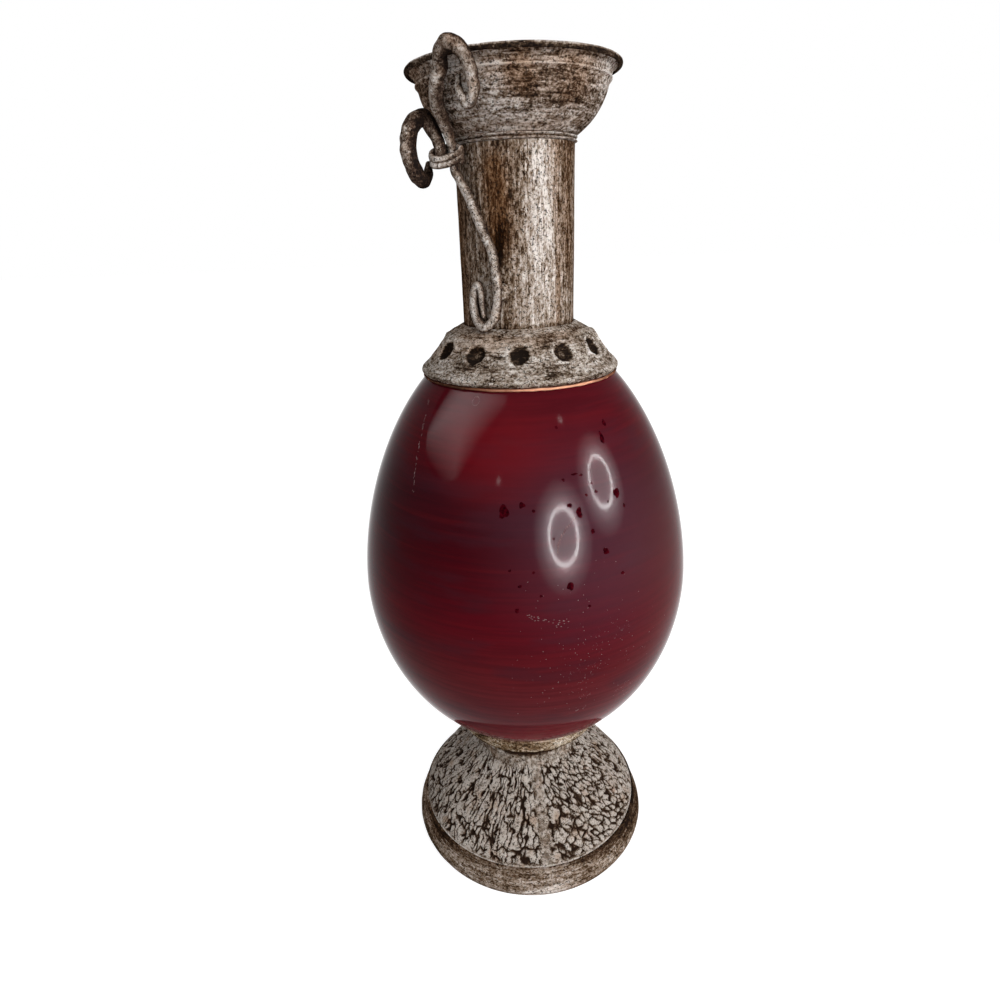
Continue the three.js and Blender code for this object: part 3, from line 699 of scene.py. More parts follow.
def rod(name, stations, steps, corners, uneven, *nodes, flat=1.0):
    """A tapered rod with rounded ends. Its section may be flattened along the axis."""
    points = [beside(*station[:3]) for station in stations]
    line, share = through(points)
    walk = np.concatenate([[0], np.cumsum(np.linalg.norm(np.diff(line, axis=0), axis=1))])
    even = np.linspace(0, walk[-1], steps + 1)
    centre = np.column_stack([np.interp(even, walk, line[:, k]) for k in range(3)])
    thick = np.interp(np.interp(even, walk, share), range(len(stations)), [s[3] for s in stations])
    heading = np.gradient(centre, axis=0)
    heading /= np.linalg.norm(heading, axis=1)[:, None]
    side = np.cross(heading[0], [0, 0, 1.0])
    if np.linalg.norm(side) < 0.1:
        side = np.cross(heading[0], [0, 1.0, 0])
    rings = []
    for i in range(steps + 1):
        side = side - heading[i] * np.dot(side, heading[i])
        side /= np.linalg.norm(side)
        rings.append((centre[i], heading[i], side, thick[i] / 2))
    caps = [(math.sin(math.radians(a)), math.cos(math.radians(a))) for a in (75, 50, 25)]
    start, end = rings[0], rings[-1]
    first = [(start[0] - start[1] * start[3] * p, *start[1:3], start[3] * k) for p, k in caps]
    last = [(end[0] + end[1] * end[3] * p, *end[1:3], end[3] * k) for p, k in caps[::-1]]
    rings = first + rings + last
    places, exposed = [], []
    for middle, ahead_here, side_here, radius in rings:
        # The side of each rod turned to the front and left gets a painted highlight, and this
        # direction picks it.
        open_side = 0.5 * middle * [1, 1, 0] / np.hypot(*middle[:2]) + [-0.35, -0.7, 0.1]
        open_side /= np.linalg.norm(open_side)
        up_here = np.cross(side_here, ahead_here)
        for k in range(corners):
            angle = 2 * math.pi * k / corners
            spoke = side_here * math.cos(angle) + up_here * math.sin(angle)
            bump = 1 + uneven * noise.noise(Vector(middle + spoke * radius) / 3.5)
            places.append(middle + spoke * radius * bump)
            exposed.append(np.dot(spoke, open_side))
    places.append(start[0] - start[1] * start[3])
    places.append(end[0] + end[1] * end[3])
    places = np.array(places)
    if flat != 1.0:
        spine = np.array([r[0] for r in rings])
        height = np.repeat(spine[:, 2], corners)
        places[:-2, 2] = height + (places[:-2, 2] - height) * flat
    faces = []
    for ring in range(len(rings) - 1):
        for k in range(corners):
            after = (k + 1) % corners
            low, high = ring * corners, (ring + 1) * corners
            faces.append([low + k, high + k, high + after, low + after])
    final = (len(rings) - 1) * corners
    for k in range(corners):
        after = (k + 1) % corners
        faces.append([len(places) - 2, k, after])
        faces.append([len(places) - 1, final + after, final + k])
    piece = new_piece(name, places, faces, "patinated_metal", *nodes)
    exposed += [0.5, 0.5]
    # The mark lightens that side as a painted highlight and darkens the rods high on the hook as
    # painted shade.
    crest = ease(np.array(exposed), 0.1, 0.95) - 0.7 * ease(places[:, 2], 466, 486)
    mark(piece, crest=np.clip(crest, -0.4, 1))
    print(name, round(float(walk[-1])), "mm long,", len(faces), "faces")
    return piece


# %% Long rod: scroll, stem and hook
STEM_ROD, HOOK_ROD, CURL_ROD, CURL_END, TIE_WIRE = 4.2, 6.0, 8.0, 5.8, 2.6
LAID_ON = NECK + GAP + STEM_ROD / 2
KNOT_HEIGHT = neck_high - 5.4
KNOT_HALF = 4.1
ROD_TURN, ROD_OUT = -54.5, 38.0
CURL_TURN, CURL_OUT = -58.5, 42.9


def stations(base_radius, base_height, rod_mm, rows):
    """Stations from rows of degrees, distance out, distance up and share of the thickness."""
    return [
        [turn, base_radius + out, base_height + up, rod_mm * share] for turn, out, up, share in rows
    ]


scroll = stations(LAID_ON, collar_high, STEM_ROD, [
    (-35.5, 0, 7, 0.5), (-36.3, 0, 12.5, 0.7), (-37, 0, 18.5, 0.82), (-40.5, 0, 22.4, 0.88),
    (-44.5, 0, 19, 0.92), (-46, 0, 11.5, 1), (-42, 0.4, 4.6, 1), (-33.5, 1.9, 1.2, 1),
    (-25, 0.4, 4.8, 1), (-21, 0, 13.5, 1),
])
climb = stations(LAID_ON, collar_high, STEM_ROD, [
    (-20.5, 0, 21.8, 1), (-22, 0, 29.6, 1), (-24.5, 0, 38.3, 1), (-29.5, 0, 44.4, 1),
    (-37, 0, 53.1, 1), (-45.5, 0, 62.6, 1),
])
tied = stations(ROD_OUT, KNOT_HEIGHT - KNOT_HALF, STEM_ROD, [
    (ROD_TURN, -2.6, -5, 1), (ROD_TURN, -0.4, -1, 1), (ROD_TURN, 0, 2 * KNOT_HALF, 1),
])
hook = stations(0, top("rim_wire"), HOOK_ROD, [
    (-52.5, 41.3, -28.3, 0.95), (-47.5, 48.8, -19.5, 1.05), (-41.5, 53.6, -12.5, 1.05),
    (-37.5, 54.6, -6.8, 1.05), (-33.5, 58.2, -1.6, 1.1), (-29.5, 59, 0.4, 1.15),
    (-24.6, 58.1, -1.8, 1.08), (-22.3, 55.6, -6, 1), (-21.5, 53.4, -11, 0.95),
    (-22, 50.4, -16, 0.9), (-24, 49.5, -19.8, 0.86), (-26.6, 49.1, -20.8, 0.8),
    (-29, 50.5, -18, 0.68), (-30, 51.2, -14, 0.54), (-29.8, 51, -10.8, 0.36),
])
THICKER = 1.18
for station in scroll[3:] + climb:
    station[3] *= THICKER
long_rod = rod("vine_stem", scroll + climb + tied + hook, 440, 18, 0.16, "vine_rod")

# %% Side curl
curl_end = stations(CURL_OUT, KNOT_HEIGHT, CURL_END, [
    (CURL_TURN, 0, 2 - KNOT_HALF, 1), (CURL_TURN, 0, KNOT_HALF - 0.3, 1),
])
curl_bow = stations(CURL_OUT, KNOT_HEIGHT, CURL_ROD, [
    (-61, 2.4, 11.6, 0.86), (-62, 6, 16.2, 0.95), (-62.5, 10, 15.6, 1), (-62.5, 13.5, 11.2, 1.04),
    (-62.5, 14.9, 5, 1.04), (-62.5, 14.3, -1.6, 1), (-63, 11.4, -7.8, 0.92),
    (-65, 7.6, -10.4, 0.82), (-68, 4.3, -7.8, 0.62), (-70, 3, -3, 0.46),
])
side_curl = rod("vine_side_curl", curl_end + curl_bow, 150, 20, 0.16, "vine_curl")

# %% [markdown]
# The tie is a wire wound twice round both rods and pulled tight, so it dips at the front. Its
# section is drawn out a little along the vase's axis.

# %% Tie
tie_inner, tie_outer = beside(ROD_TURN, ROD_OUT, 0), beside(CURL_TURN, CURL_OUT, 0)
tie_middle = (tie_inner + tie_outer) / 2
tie_across = tie_outer - tie_inner
tie_half = np.linalg.norm(tie_across) / 2
tie_across /= 2 * tie_half
tie_side = np.array([-tie_across[1], tie_across[0], 0])
TIE_REACH = (CURL_END + TIE_WIRE) / 2 + GAP
TIE_PITCH, TIE_TILT, TIE_LOW_TURN = 2.8, 3.4, -10
low_side = beside(TIE_LOW_TURN, 1 / TIE_REACH, 0)
tie_turns = []
for turns in np.linspace(0, 2, 65):
    angle = 2 * math.pi * turns + math.pi * 0.9
    out = tie_half * math.tanh(2.5 * math.cos(angle)) + TIE_REACH * math.cos(angle)
    offset = tie_across * out + tie_side * TIE_REACH * math.sin(angle)
    x, y, _ = tie_middle + offset
    z = KNOT_HEIGHT + (turns - 1) * TIE_PITCH - TIE_TILT * np.dot(offset, low_side)
    tie_turns.append([math.degrees(math.atan2(x, -y)), math.hypot(x, y), z, TIE_WIRE + 0.15])
tie = rod("vine_tie_wire", tie_turns, 200, 12, 0.2, "vine_tie", flat=1.12)

# %% [markdown]
# A lump of weld holds the stem to the neck. It is a rounded heap with a rough skin, built as
# a dome of rings over the tube.

# %% Weld
WELD_TURN, WELD_HEIGHT = -16.2, collar_high + 18.5
weld_places, weld_faces = [], []
WELD_ROWS, WELD_SPOKES = 14, 36
WELD_WIDTH, WELD_TALL, WELD_RISE = 2.9, 4.4, 2.2
weld_dome = beside(WELD_TURN, 1, 0)
weld_side = np.array([math.cos(math.radians(WELD_TURN)), math.sin(math.radians(WELD_TURN)), 0])
for row in range(WELD_ROWS + 1):
    lean = math.pi * 0.62 * row / WELD_ROWS
    for k in range(WELD_SPOKES):
        spin = 2 * math.pi * k / WELD_SPOKES
        width = WELD_WIDTH * math.sin(lean) * math.cos(spin)
        tall = WELD_TALL * math.sin(lean) * math.sin(spin)
        rise = WELD_RISE * math.cos(lean)
        place = weld_dome * (NECK + 0.2 + rise) + weld_side * width + np.array([0, 0, tall])
        place = place + np.array([0, 0, WELD_HEIGHT])
        rough = 0.55 * noise.noise(Vector(place) / 1.6) + 0.3 * noise.noise(Vector(place) / 0.7)
        weld_places.append(place + weld_dome * rough * math.sin(lean + 0.3))
for row in range(WELD_ROWS):
    for k in range(WELD_SPOKES):
        after = (k + 1) % WELD_SPOKES
        low, high = row * WELD_SPOKES, (row + 1) * WELD_SPOKES
        weld_faces.append([low + k, high + k, high + after, low + after])
weld_faces.append([WELD_ROWS * WELD_SPOKES + k for k in range(WELD_SPOKES)])
weld = new_piece("weld_lump", np.array(weld_places), weld_faces, "patinated_metal", "vine_weld")
print("weld", len(weld_faces), "faces")

# %% [markdown]
# ## Finishes
#
# A finish is built from a few helpers: noise of a given grain in millimetres, a map from one
# range to another, and a ramp of colours. Streaks are the same noise, drawn out by a brush,
# which is a number for each direction: the smaller it is, the longer the streaks.

# %% Helpers for finishes
def new_finish(name):
    finish = bpy.data.materials.new(name)
    finish.use_nodes = True
    tree = finish.node_tree
    return finish, tree, tree.nodes["Principled BSDF"]


def feed(tree, sockets, values):
    """Links each socket to another one, or sets its number."""
    for name, value in values.items():
        if isinstance(value, bpy.types.NodeSocket):
            tree.links.new(value, sockets[name])
        else:
            sockets[name].default_value = value


def add_node(tree, kind, values, **settings):
    """A new node with its settings, and its inputs fed by name or number."""
    node = tree.nodes.new("ShaderNode" + kind)
    for setting, choice in settings.items():
        setattr(node, setting, choice)
    feed(tree, node.inputs, values)
    return node


def place_in(tree, brush=(1, 1, 1)):
    """Coordinates of the piece, drawn out by a brush."""
    where = add_node(tree, "TexCoord", {}).outputs["Object"]
    return add_node(tree, "Mapping", {"Vector": where, "Scale": brush}).outputs[0]


def grain(tree, size_mm, detail=3, roughness=0.55, brush=(1, 1, 1)):
    """Noise from 0 to 1 with lumps of the given size."""
    values = {"Vector": place_in(tree, brush), "Scale": 1000 / size_mm}
    values |= {"Detail": detail, "Roughness": roughness}
    return add_node(tree, "TexNoise", values).outputs[0]


def sums(tree, kind, *values):
    return add_node(tree, "Math", dict(enumerate(values)), operation=kind).outputs[0]


def plus(tree, tone, value, amount):
    """The tone with an amount of a value added to it."""
    return sums(tree, "MULTIPLY_ADD", value, amount, tone)


def swayed(tree, tone, noise_value, amount):
    """The tone with a noise added to it, whose middle adds nothing."""
    scaled = sums(tree, "MULTIPLY_ADD", noise_value, amount, -0.5 * amount)
    return sums(tree, "ADD", tone, scaled)


def ranged(tree, value, low, high, to_low=0.0, to_high=1.0):
    ends = {"From Min": low, "From Max": high, "To Min": to_low, "To Max": to_high}
    node = add_node(tree, "MapRange", {"Value": value, **ends}, interpolation_type="SMOOTHSTEP")
    return node.outputs[0]


def marked(tree, name):
    """Reads a number that was kept on the piece's points."""
    return add_node(tree, "Attribute", {}, attribute_name=name).outputs["Fac"]


def colours(tree, value, stops):
    """A ramp of (place, red, green, blue) stops."""
    node = add_node(tree, "ValToRGB", {0: value})
    ramp = node.color_ramp
    while len(ramp.elements) < len(stops):
        ramp.elements.new(0.5)
    for element, (place, *colour) in zip(ramp.elements, stops):
        element.position = place
        element.color = (*colour, 1)
    return node.outputs[0]


def laid_over(tree, share, under, over, blend="MIX"):
    """A colour laid over what is there, by a share."""
    values = {0: share, 6: under, 7: (*over, 1)}
    return add_node(tree, "Mix", values, data_type="RGBA", blend_type=blend).outputs[2]


def paint(tree, shader, colour, roughness, metallic=0.0, gloss=0.5, bump=None):
    """Feeds the shader. With a gloss of 0 it mirrors nothing. bump is height, depth, strength."""
    values = {"Base Color": colour, "Roughness": roughness}
    values |= {"Metallic": metallic, "Specular IOR Level": gloss}
    if bump is not None:
        height, depth_mm, strength = bump
        relief = {"Height": height, "Distance": depth_mm * MM, "Strength": strength}
        values["Normal"] = add_node(tree, "Bump", relief).outputs[0]
    feed(tree, shader.inputs, values)


# %% [markdown]
# The patina is a dark brown skin that is dry-brushed with silver grey. The brush leaves paint
# on what stands high and misses what lies low, so one tone from 0 to 1 says how much of it a
# place has: blotches, streaks along the brush and a fine grain, plus what the piece's own
# marks add, some of which are painted highlights and painted shade. Bristles leave dark and
# pale hairlines, and the paint has a fine dark crackle.
# A ramp turns the tone into black-brown, brown, taupe and silver. The thin places look
# warmer, so a brown glaze lies over them, and small dark specks lie over all.
# The paint has no gloss, because the lamps that the lacquer mirrors are so bright that they
# would wash it out.

# %% Patina
BROWN_TO_SILVER = [
    (0, 0.013, 0.008, 0.006), (0.28, 0.073, 0.041, 0.022), (0.5, 0.231, 0.165, 0.117),
    (0.72, 0.45, 0.375, 0.319), (1, 0.779, 0.714, 0.667),
]
BROWN_GLAZE = (0.66, 0.46, 0.31)
SPECK_BROWN = (0.02, 0.013, 0.009)
EVEN = (1, 1, 1)


def drawn(brush, power):
    """A gentler brush, for grain that is drawn out less."""
    return tuple(side**power for side in brush)


def patina_tone(tree, base, brush, blotch_mm, streak_mm, weights):
    """Tone from 0 to 1. brush draws the streaks out, and weights are for blotch, streak, grain."""
    blotch, streak, fine = weights
    tone = swayed(tree, base, grain(tree, blotch_mm, 3, 0.6, drawn(brush, 0.5)), blotch)
    tone = swayed(tree, tone, grain(tree, streak_mm, 4, 0.65, brush), streak)
    tone = swayed(tree, tone, grain(tree, 2.4, 2, 0.6, drawn(brush, 0.25)), 0.5 * fine)
    return swayed(tree, tone, grain(tree, 1.0, 2, 0.75, drawn(brush, 0.25)), fine)


def hairlines(tree, brush, size_mm, low, high):
    """Thin lines along the brush, 1 on a line."""
    slim = tuple(0.35 * side if side < 1 else side for side in brush)
    lines = ranged(tree, grain(tree, size_mm, 2, 0.6, slim), low, high)
    return sums(tree, "MULTIPLY", lines, ranged(tree, grain(tree, 5, 2), 0.42, 0.58))


def crackle(tree, brush, size_mm):
    """Thin winding lines where a noise passes its middle, 1 on a line, broken up by gaps."""
    wound = grain(tree, size_mm, 3, 0.7, drawn(brush, 0.5))
    off_middle = sums(tree, "ABSOLUTE", sums(tree, "SUBTRACT", wound, 0.5))
    lines = ranged(tree, off_middle, 0.006, 0.03, 1.0, 0.0)
    return sums(tree, "MULTIPLY", lines, ranged(tree, grain(tree, 6, 2), 0.46, 0.6))


def patina(
    name, base, brush, blotch_mm, streak_mm, weights, marks, stops=BROWN_TO_SILVER,
    glaze=None, filed=0.0,
):
    """marks says how much each mark adds to the tone, and glaze how much glaze a mark adds.

    filed is how much the cross lines of a file add to the tone on calm places."""
    finish, tree, shader = new_finish(name)
    tone = patina_tone(tree, base, brush, blotch_mm, streak_mm, weights)
    tone = plus(tree, tone, hairlines(tree, brush, 1.0, 0.56, 0.66), -0.3)
    tone = plus(tree, tone, hairlines(tree, brush, 0.9, 0.6, 0.68), 0.22)
    tone = plus(tree, tone, crackle(tree, brush, 4.5), -0.34)
    for mark_name, amount in marks.items():
        tone = plus(tree, tone, marked(tree, mark_name), amount)
    if filed:
        file_lines = grain(tree, 0.9, 2, brush=(0.06, 0.06, 1))
        on_calm = sums(tree, "MULTIPLY", marked(tree, "calm"), file_lines)
        tone = plus(tree, tone, on_calm, filed)
    thin = ranged(tree, grain(tree, 9, 3, brush=brush), 0.5, 0.72, 0.0, 0.55)
    if glaze is not None:
        mark_name, amount = glaze
        extra_glaze = sums(tree, "MULTIPLY", marked(tree, mark_name), amount)
        thin = sums(tree, "MAXIMUM", thin, extra_glaze)
    colour = laid_over(tree, thin, colours(tree, tone, stops), BROWN_GLAZE, "MULTIPLY")
    specks = ranged(tree, grain(tree, 1.4, 2, 0.8), 0.38, 0.45, 0.85, 0.0)
    colour = laid_over(tree, specks, colour, SPECK_BROWN)
    rough = ranged(tree, tone, 0.1, 0.9, 0.7, 0.46)
    paint(tree, shader, colour, rough, gloss=0.0, bump=(tone, 0.3, 0.6))
    return finish


# %% Raw inner side
def raw_inside():
    finish, tree, shader = new_finish("raw_inside")
    tone = patina_tone(tree, 0.4, (1, 1, 0.15), 22, 3, (0.7, 0.5, 0.5))
    stops = [(0.2, 0.02, 0.015, 0.012), (0.55, 0.07, 0.055, 0.045), (0.9, 0.2, 0.17, 0.15)]
    rough = ranged(tree, tone, 0.2, 0.8, 0.7, 0.45)
    paint(tree, shader, colours(tree, tone, stops), rough, metallic=0.5, bump=(tone, 0.2, 0.5))
    return finish


raw = raw_inside()


def dress(piece, finish):
    """The outer face gets its finish and the inner face stays raw."""
    piece.data.materials.clear()
    piece.data.materials.append(finish)
    piece.data.materials.append(raw)


# %% [markdown]
# ### Finish of foot and plinth
#
# On the foot the tone follows the relief: plates pale grey, crevices dark brown. The calm
# places, the seam above all, show fine cross lines from the file, and painted shade darkens
# the top of the stem under the seat. The plinth is browner and more speckled, paler at the
# solder and darkened at its sides with painted shade. Painted shade also lies in the groove
# under the foot and along the floor, and a painted highlight on the bulge of the band.

# %% Foot and plinth finish
FOOT_STOPS = [
    (0, 0.018, 0.01, 0.007), (0.22, 0.044, 0.025, 0.015), (0.45, 0.169, 0.125, 0.092),
    (0.66, 0.45, 0.394, 0.344), (1, 0.684, 0.637, 0.596),
]
foot_marks = {"raised": 0.82, "under_seat": -0.6, "lower_edge": 0.2}
dress(foot, patina(
    "foot_patina", -0.08, EVEN, 16, 2, (0.3, 0.2, 0.5), foot_marks, FOOT_STOPS, filed=0.3
))

plinth_marks = {"rubbed": 0.22, "crest": 0.12, "crevice": -0.18}
dress(plinth, patina(
    "plinth_patina", 0.61, (0.09, 0.09, 1), 14, 2.4, (1.1, 1.3, 1.2), plinth_marks
))

# %% [markdown]
# ### Finish of seat and collar
#
# The seat's band is pale with ochre patches where the patina went thin. The collar is the
# palest piece. Its brush lines run round it, the pits are dark, and the lips are rubbed.

# %% Seat finish
SEAT_STOPS = [
    (0, 0.014, 0.009, 0.006), (0.3, 0.075, 0.044, 0.022), (0.5, 0.225, 0.152, 0.088),
    (0.72, 0.45, 0.362, 0.263), (1, 0.708, 0.649, 0.566),
]
seat_marks = {"top_edge": 0.22, "undercut": -0.6}
dress(seat, patina(
    "seat_patina", 0.56, (0.2, 0.2, 1), 12, 2.5, (1.7, 1.1, 1.5), seat_marks, SEAT_STOPS
))

# %% Collar finish
COLLAR_STOPS = [
    (0, 0.013, 0.009, 0.007), (0.25, 0.062, 0.039, 0.025), (0.45, 0.2, 0.15, 0.112),
    (0.65, 0.4, 0.34, 0.29), (1, 0.743, 0.702, 0.661),
]
collar_marks = {"pit": -0.75, "soot": -0.36, "lip": 0.2}
dress(collar, patina(
    "collar_patina", 0.66, (0.12, 0.12, 1), 13, 1.6, (0.9, 1.1, 1.4), collar_marks, COLLAR_STOPS
))

# %% [markdown]
# ### Finish of neck, cup and vine
#
# The brush went up and down the neck and round the cup. On the neck the marks for stains,
# a band of rubbed metal with a painted highlight on it, and painted shade at both ends and by
# the rod change the tone. The stains are a warmer brown, so the glaze lies thickest on them.

# %% Neck finish
neck_marks = {"rubbed": 0.3, "stain": -0.16, "soot": -0.4, "grime": -0.25}
dress(neck, patina(
    "neck_patina", 0.53, (1, 1, 0.1), 16, 1.7, (0.5, 1.1, 1.25), neck_marks, glaze=("stain", 1.25)
))

# %% Cup, bead and rim finish
CUP_STOPS = [
    (0, 0.012, 0.008, 0.007), (0.3, 0.069, 0.043, 0.027), (0.5, 0.213, 0.158, 0.12),
    (0.72, 0.425, 0.362, 0.319), (1, 0.732, 0.678, 0.637),
]
cup_marks = {"ridge": 0.5, "under_lip": 0.12, "brown_patch": -0.14, "blue_patch": 0.14}
dress(cup, patina(
    "cup_patina", 0.62, (0.13, 0.13, 1), 12, 1.8, (0.9, 1.4, 1.7), cup_marks, CUP_STOPS,
    glaze=("brown_patch", 0.8),
))
dress(bead_ring, patina(
    "bead_patina", 0.68, (0.2, 0.2, 1), 14, 2, (0.6, 0.8, 1.3), {"groove": -0.8}, CUP_STOPS
))
# The rim's dark tone is painted shade, and its lighter upper half is a painted highlight.
dress(rim, patina(
    "rim_patina", 0.16, (0.3, 0.3, 1), 14, 2.4, (0.7, 0.9, 1.3), {"upper": 0.5}, CUP_STOPS
))

# %% Vine finish
VINE_STOPS = [
    (0, 0.013, 0.009, 0.008), (0.28, 0.062, 0.037, 0.026), (0.5, 0.175, 0.125, 0.094),
    (0.72, 0.388, 0.319, 0.269), (1, 0.732, 0.684, 0.649),
]
# Each rod is lighter along its front left side, a painted highlight, and darker high on the hook,
# painted shade.
on_crest = {"crest": 0.52}
vine_finish = patina("vine_patina", 0.3, EVEN, 9, 3.2, (0.7, 0.8, 1.2), on_crest, VINE_STOPS)
dress(long_rod, vine_finish)
dress(tie, vine_finish)
# The side curl gets a darker copy of the vine's patina, as painted shade.
dress(side_curl, patina(
    "curl_patina", 0.01, EVEN, 9, 3.2, (0.8, 0.9, 1.4), on_crest, VINE_STOPS
))
dress(weld, patina("weld_patina", 0.58, EVEN, 4, 1.5, (0.9, 0.9, 1.4), {}))

# %% [markdown]
# ### Lacquer
#
# The body's lacquer is a clear wine red over a darker ground. It was brushed on while the
# egg turned, so bands run round it: deep red, purple grey and, low down, a brighter red.
# Small chips show the dark red ground, and the lower right side is scuffed white. A purple
# grey haze where the ring lamps are mirrored and a paler brown sheen towards the right edge
# are painted reflections. Its gloss is set low, to suit the very bright lamps that it mirrors.

# %% Lacquer
LACQUER_UP = [
    (0.0, 0.195, 0.0218, 0.025), (0.14, 0.195, 0.023, 0.03), (0.27, 0.1092, 0.014, 0.0187),
    (0.38, 0.1053, 0.0101, 0.014), (0.5, 0.0897, 0.0031, 0.0078), (0.66, 0.0507, 0.0016, 0.0047),
    (0.76, 0.0429, 0.0039, 0.0078), (0.84, 0.0819, 0.0031, 0.007), (1.0, 0.0858, 0.007, 0.0117),
]
BODY_SPAN = (0.086, 0.346)


def near_place(tree, degrees, radius, height, reach_mm):
    """1 near a place on the body, fading to 0 over a reach."""
    ends = {0: place_in(tree), 1: tuple(beside(degrees, radius, height) * MM)}
    node = add_node(tree, "VectorMath", ends, operation="DISTANCE")
    return ranged(tree, node.outputs["Value"], 0.15 * reach_mm * MM, reach_mm * MM, 1.0, 0.0)


def scuffs(tree):
    """Fine pale scratches and specks low on the right."""
    fine = ranged(tree, grain(tree, 1.5, 4, 0.8, (1, 1, 0.6)), 0.62, 0.7)
    patch = ranged(tree, grain(tree, 14, 3), 0.52, 0.62)
    region = near_place(tree, 24, 98, 178, 60)
    return sums(tree, "MULTIPLY", sums(tree, "MULTIPLY", fine, patch), region)


def lacquer():
    finish, tree, shader = new_finish("wine_red_lacquer")
    parts = add_node(tree, "SeparateXYZ", {0: place_in(tree)})
    height = ranged(tree, parts.outputs["Z"], *BODY_SPAN)
    height.node.interpolation_type = "LINEAR"
    drift = grain(tree, 45, 2, brush=(0.5, 0.5, 1))
    colour = colours(tree, swayed(tree, height, drift, 0.09), LACQUER_UP)
    brushed = grain(tree, 2.2, 4, 0.6, (0.05, 0.05, 1))
    warm = grain(tree, 3.5, 4, brush=(0.03, 0.03, 1))
    dusk = grain(tree, 15, 4, brush=(0.22, 0.22, 1))
    for bands, ends, over in (
        (brushed, (0.36, 0.62, 0.3, 0.0), (0.027, 0.003, 0.006)),
        (warm, (0.5, 0.75, 0.0, 0.22), (0.14, 0.006, 0.008)),
        (dusk, (0.5, 0.66, 0.0, 0.38), (0.036, 0.011, 0.018)),
    ):
        colour = laid_over(tree, ranged(tree, bands, *ends), colour, over)
    # The second and third spots are painted reflections: a purple grey haze round the mirrored ring
    # lamps and a brown sheen on the right side.
    for spot, share, over in (
        ((-14, 72, 306, 42), 0.28, (0.21, 0.01, 0.014)),
        ((24, 96, 262, 78), 0.35, (0.1, 0.045, 0.065)),
        ((72, 100, 235, 95), 0.4, (0.12, 0.036, 0.034)),
    ):
        near = sums(tree, "MULTIPLY", near_place(tree, *spot), share)
        colour = laid_over(tree, near, colour, over)
    colour = laid_over(tree, scuffs(tree), colour, (0.36, 0.22, 0.23))
    rough = ranged(tree, brushed, 0.3, 0.7, 0.055, 0.09)
    paint(tree, shader, colour, rough, gloss=0.015, bump=(brushed, 0.012, 0.4))
    return finish


dress(body, lacquer())

# %% [markdown]
# ### Chips and scratches of the lacquer
#
# Little flakes of the clear coat are gone on the front, where darker red shows. A dotted
# scratch runs down on the left, and a small round mark lies high on the left. They are thin
# irregular patches that hug the body, placed by the angle round it and the height.

# %% Patches on the lacquer
PATCH_CORNERS, PATCH_PROUD = 14, 0.07


def body_radius(height):
    return float(np.interp(height, body_line[:, 1], body_line[:, 0]))


def patches(name, spots, finish, seed):
    """Thin ragged patches on the body, one for each (degrees, height, width, tall) spot."""
    places, faces = [], []
    for number, (degrees, height, wide, tall) in enumerate(spots):
        faces.append([len(places) + k for k in range(PATCH_CORNERS)])
        for k in range(PATCH_CORNERS):
            angle = 2 * math.pi * k / PATCH_CORNERS
            x, y = math.cos(angle), math.sin(angle)
            jag = 1 + 0.7 * noise.noise(Vector((x, y, number * 1.7 + seed)))
            level_here = height + tall / 2 * jag * y
            radius = body_radius(level_here) + PATCH_PROUD
            turn = degrees + math.degrees(wide / 2 * jag * x / radius)
            places.append(beside(turn, radius, level_here))
    piece = new_piece(name, np.array(places), faces, "red_lacquer")
    piece.data.materials.clear()
    piece.data.materials.append(finish)
    print(name, len(faces), "patches")
    return piece


def patch_finish(name, dark, light, rough):
    finish, tree, shader = new_finish(name)
    mottle = grain(tree, 1.5, 2)
    colour = colours(tree, mottle, [(0.35, *dark), (0.65, *light)])
    paint(tree, shader, colour, ranged(tree, mottle, 0.3, 0.7, rough, rough + 0.15), gloss=0.0)
    return finish


CHIPS = [
    (32.8, 308, 2.6, 6), (36.9, 314, 2, 3), (13, 315.5, 1.4, 1.6), (-8.5, 280, 5, 6),
    (-2.4, 282.6, 3, 3.4), (1.4, 279.7, 1.6, 1.6), (12.5, 292.5, 1.6, 1.6), (17, 294.4, 3.4, 1),
    (19.6, 293.6, 1.8, 1), (20.1, 284.2, 1.8, 1.4), (24.1, 285.1, 2, 1.5), (32.2, 282, 3.6, 4.2),
    (34.4, 275, 1.6, 2.2), (13.6, 280.7, 2.6, 2), (16.5, 276.6, 3.6, 4.4), (20.6, 267, 2.4, 2),
    (24.2, 256, 3.2, 3.2), (7.3, 266, 1.6, 1.4), (11.4, 241.6, 4.6, 4.4), (-3.5, 243.5, 2, 1.6),
    (2.6, 238.5, 1.6, 1.4), (0.7, 250.6, 1.5, 1.3), (-6.5, 251.5, 1.6, 1.3), (29.4, 242.6, 2.4, 1.6),
    (-4.6, 231, 2, 3), (17.2, 229.8, 1.6, 1.4), (23, 289, 1, 1), (28, 279, 1, 1.2),
]
chip_finish = patch_finish("bared_red_ground", (0.014, 0.0005, 0.002), (0.06, 0.0015, 0.005), 0.5)
patches("lacquer_chips", CHIPS, chip_finish, 1.0)

# %% [markdown]
# The scratches are five groups of small pale spots: a dotted line on the left, specks over
# the lower right, a flat streak in the middle, a short hook and a ring.

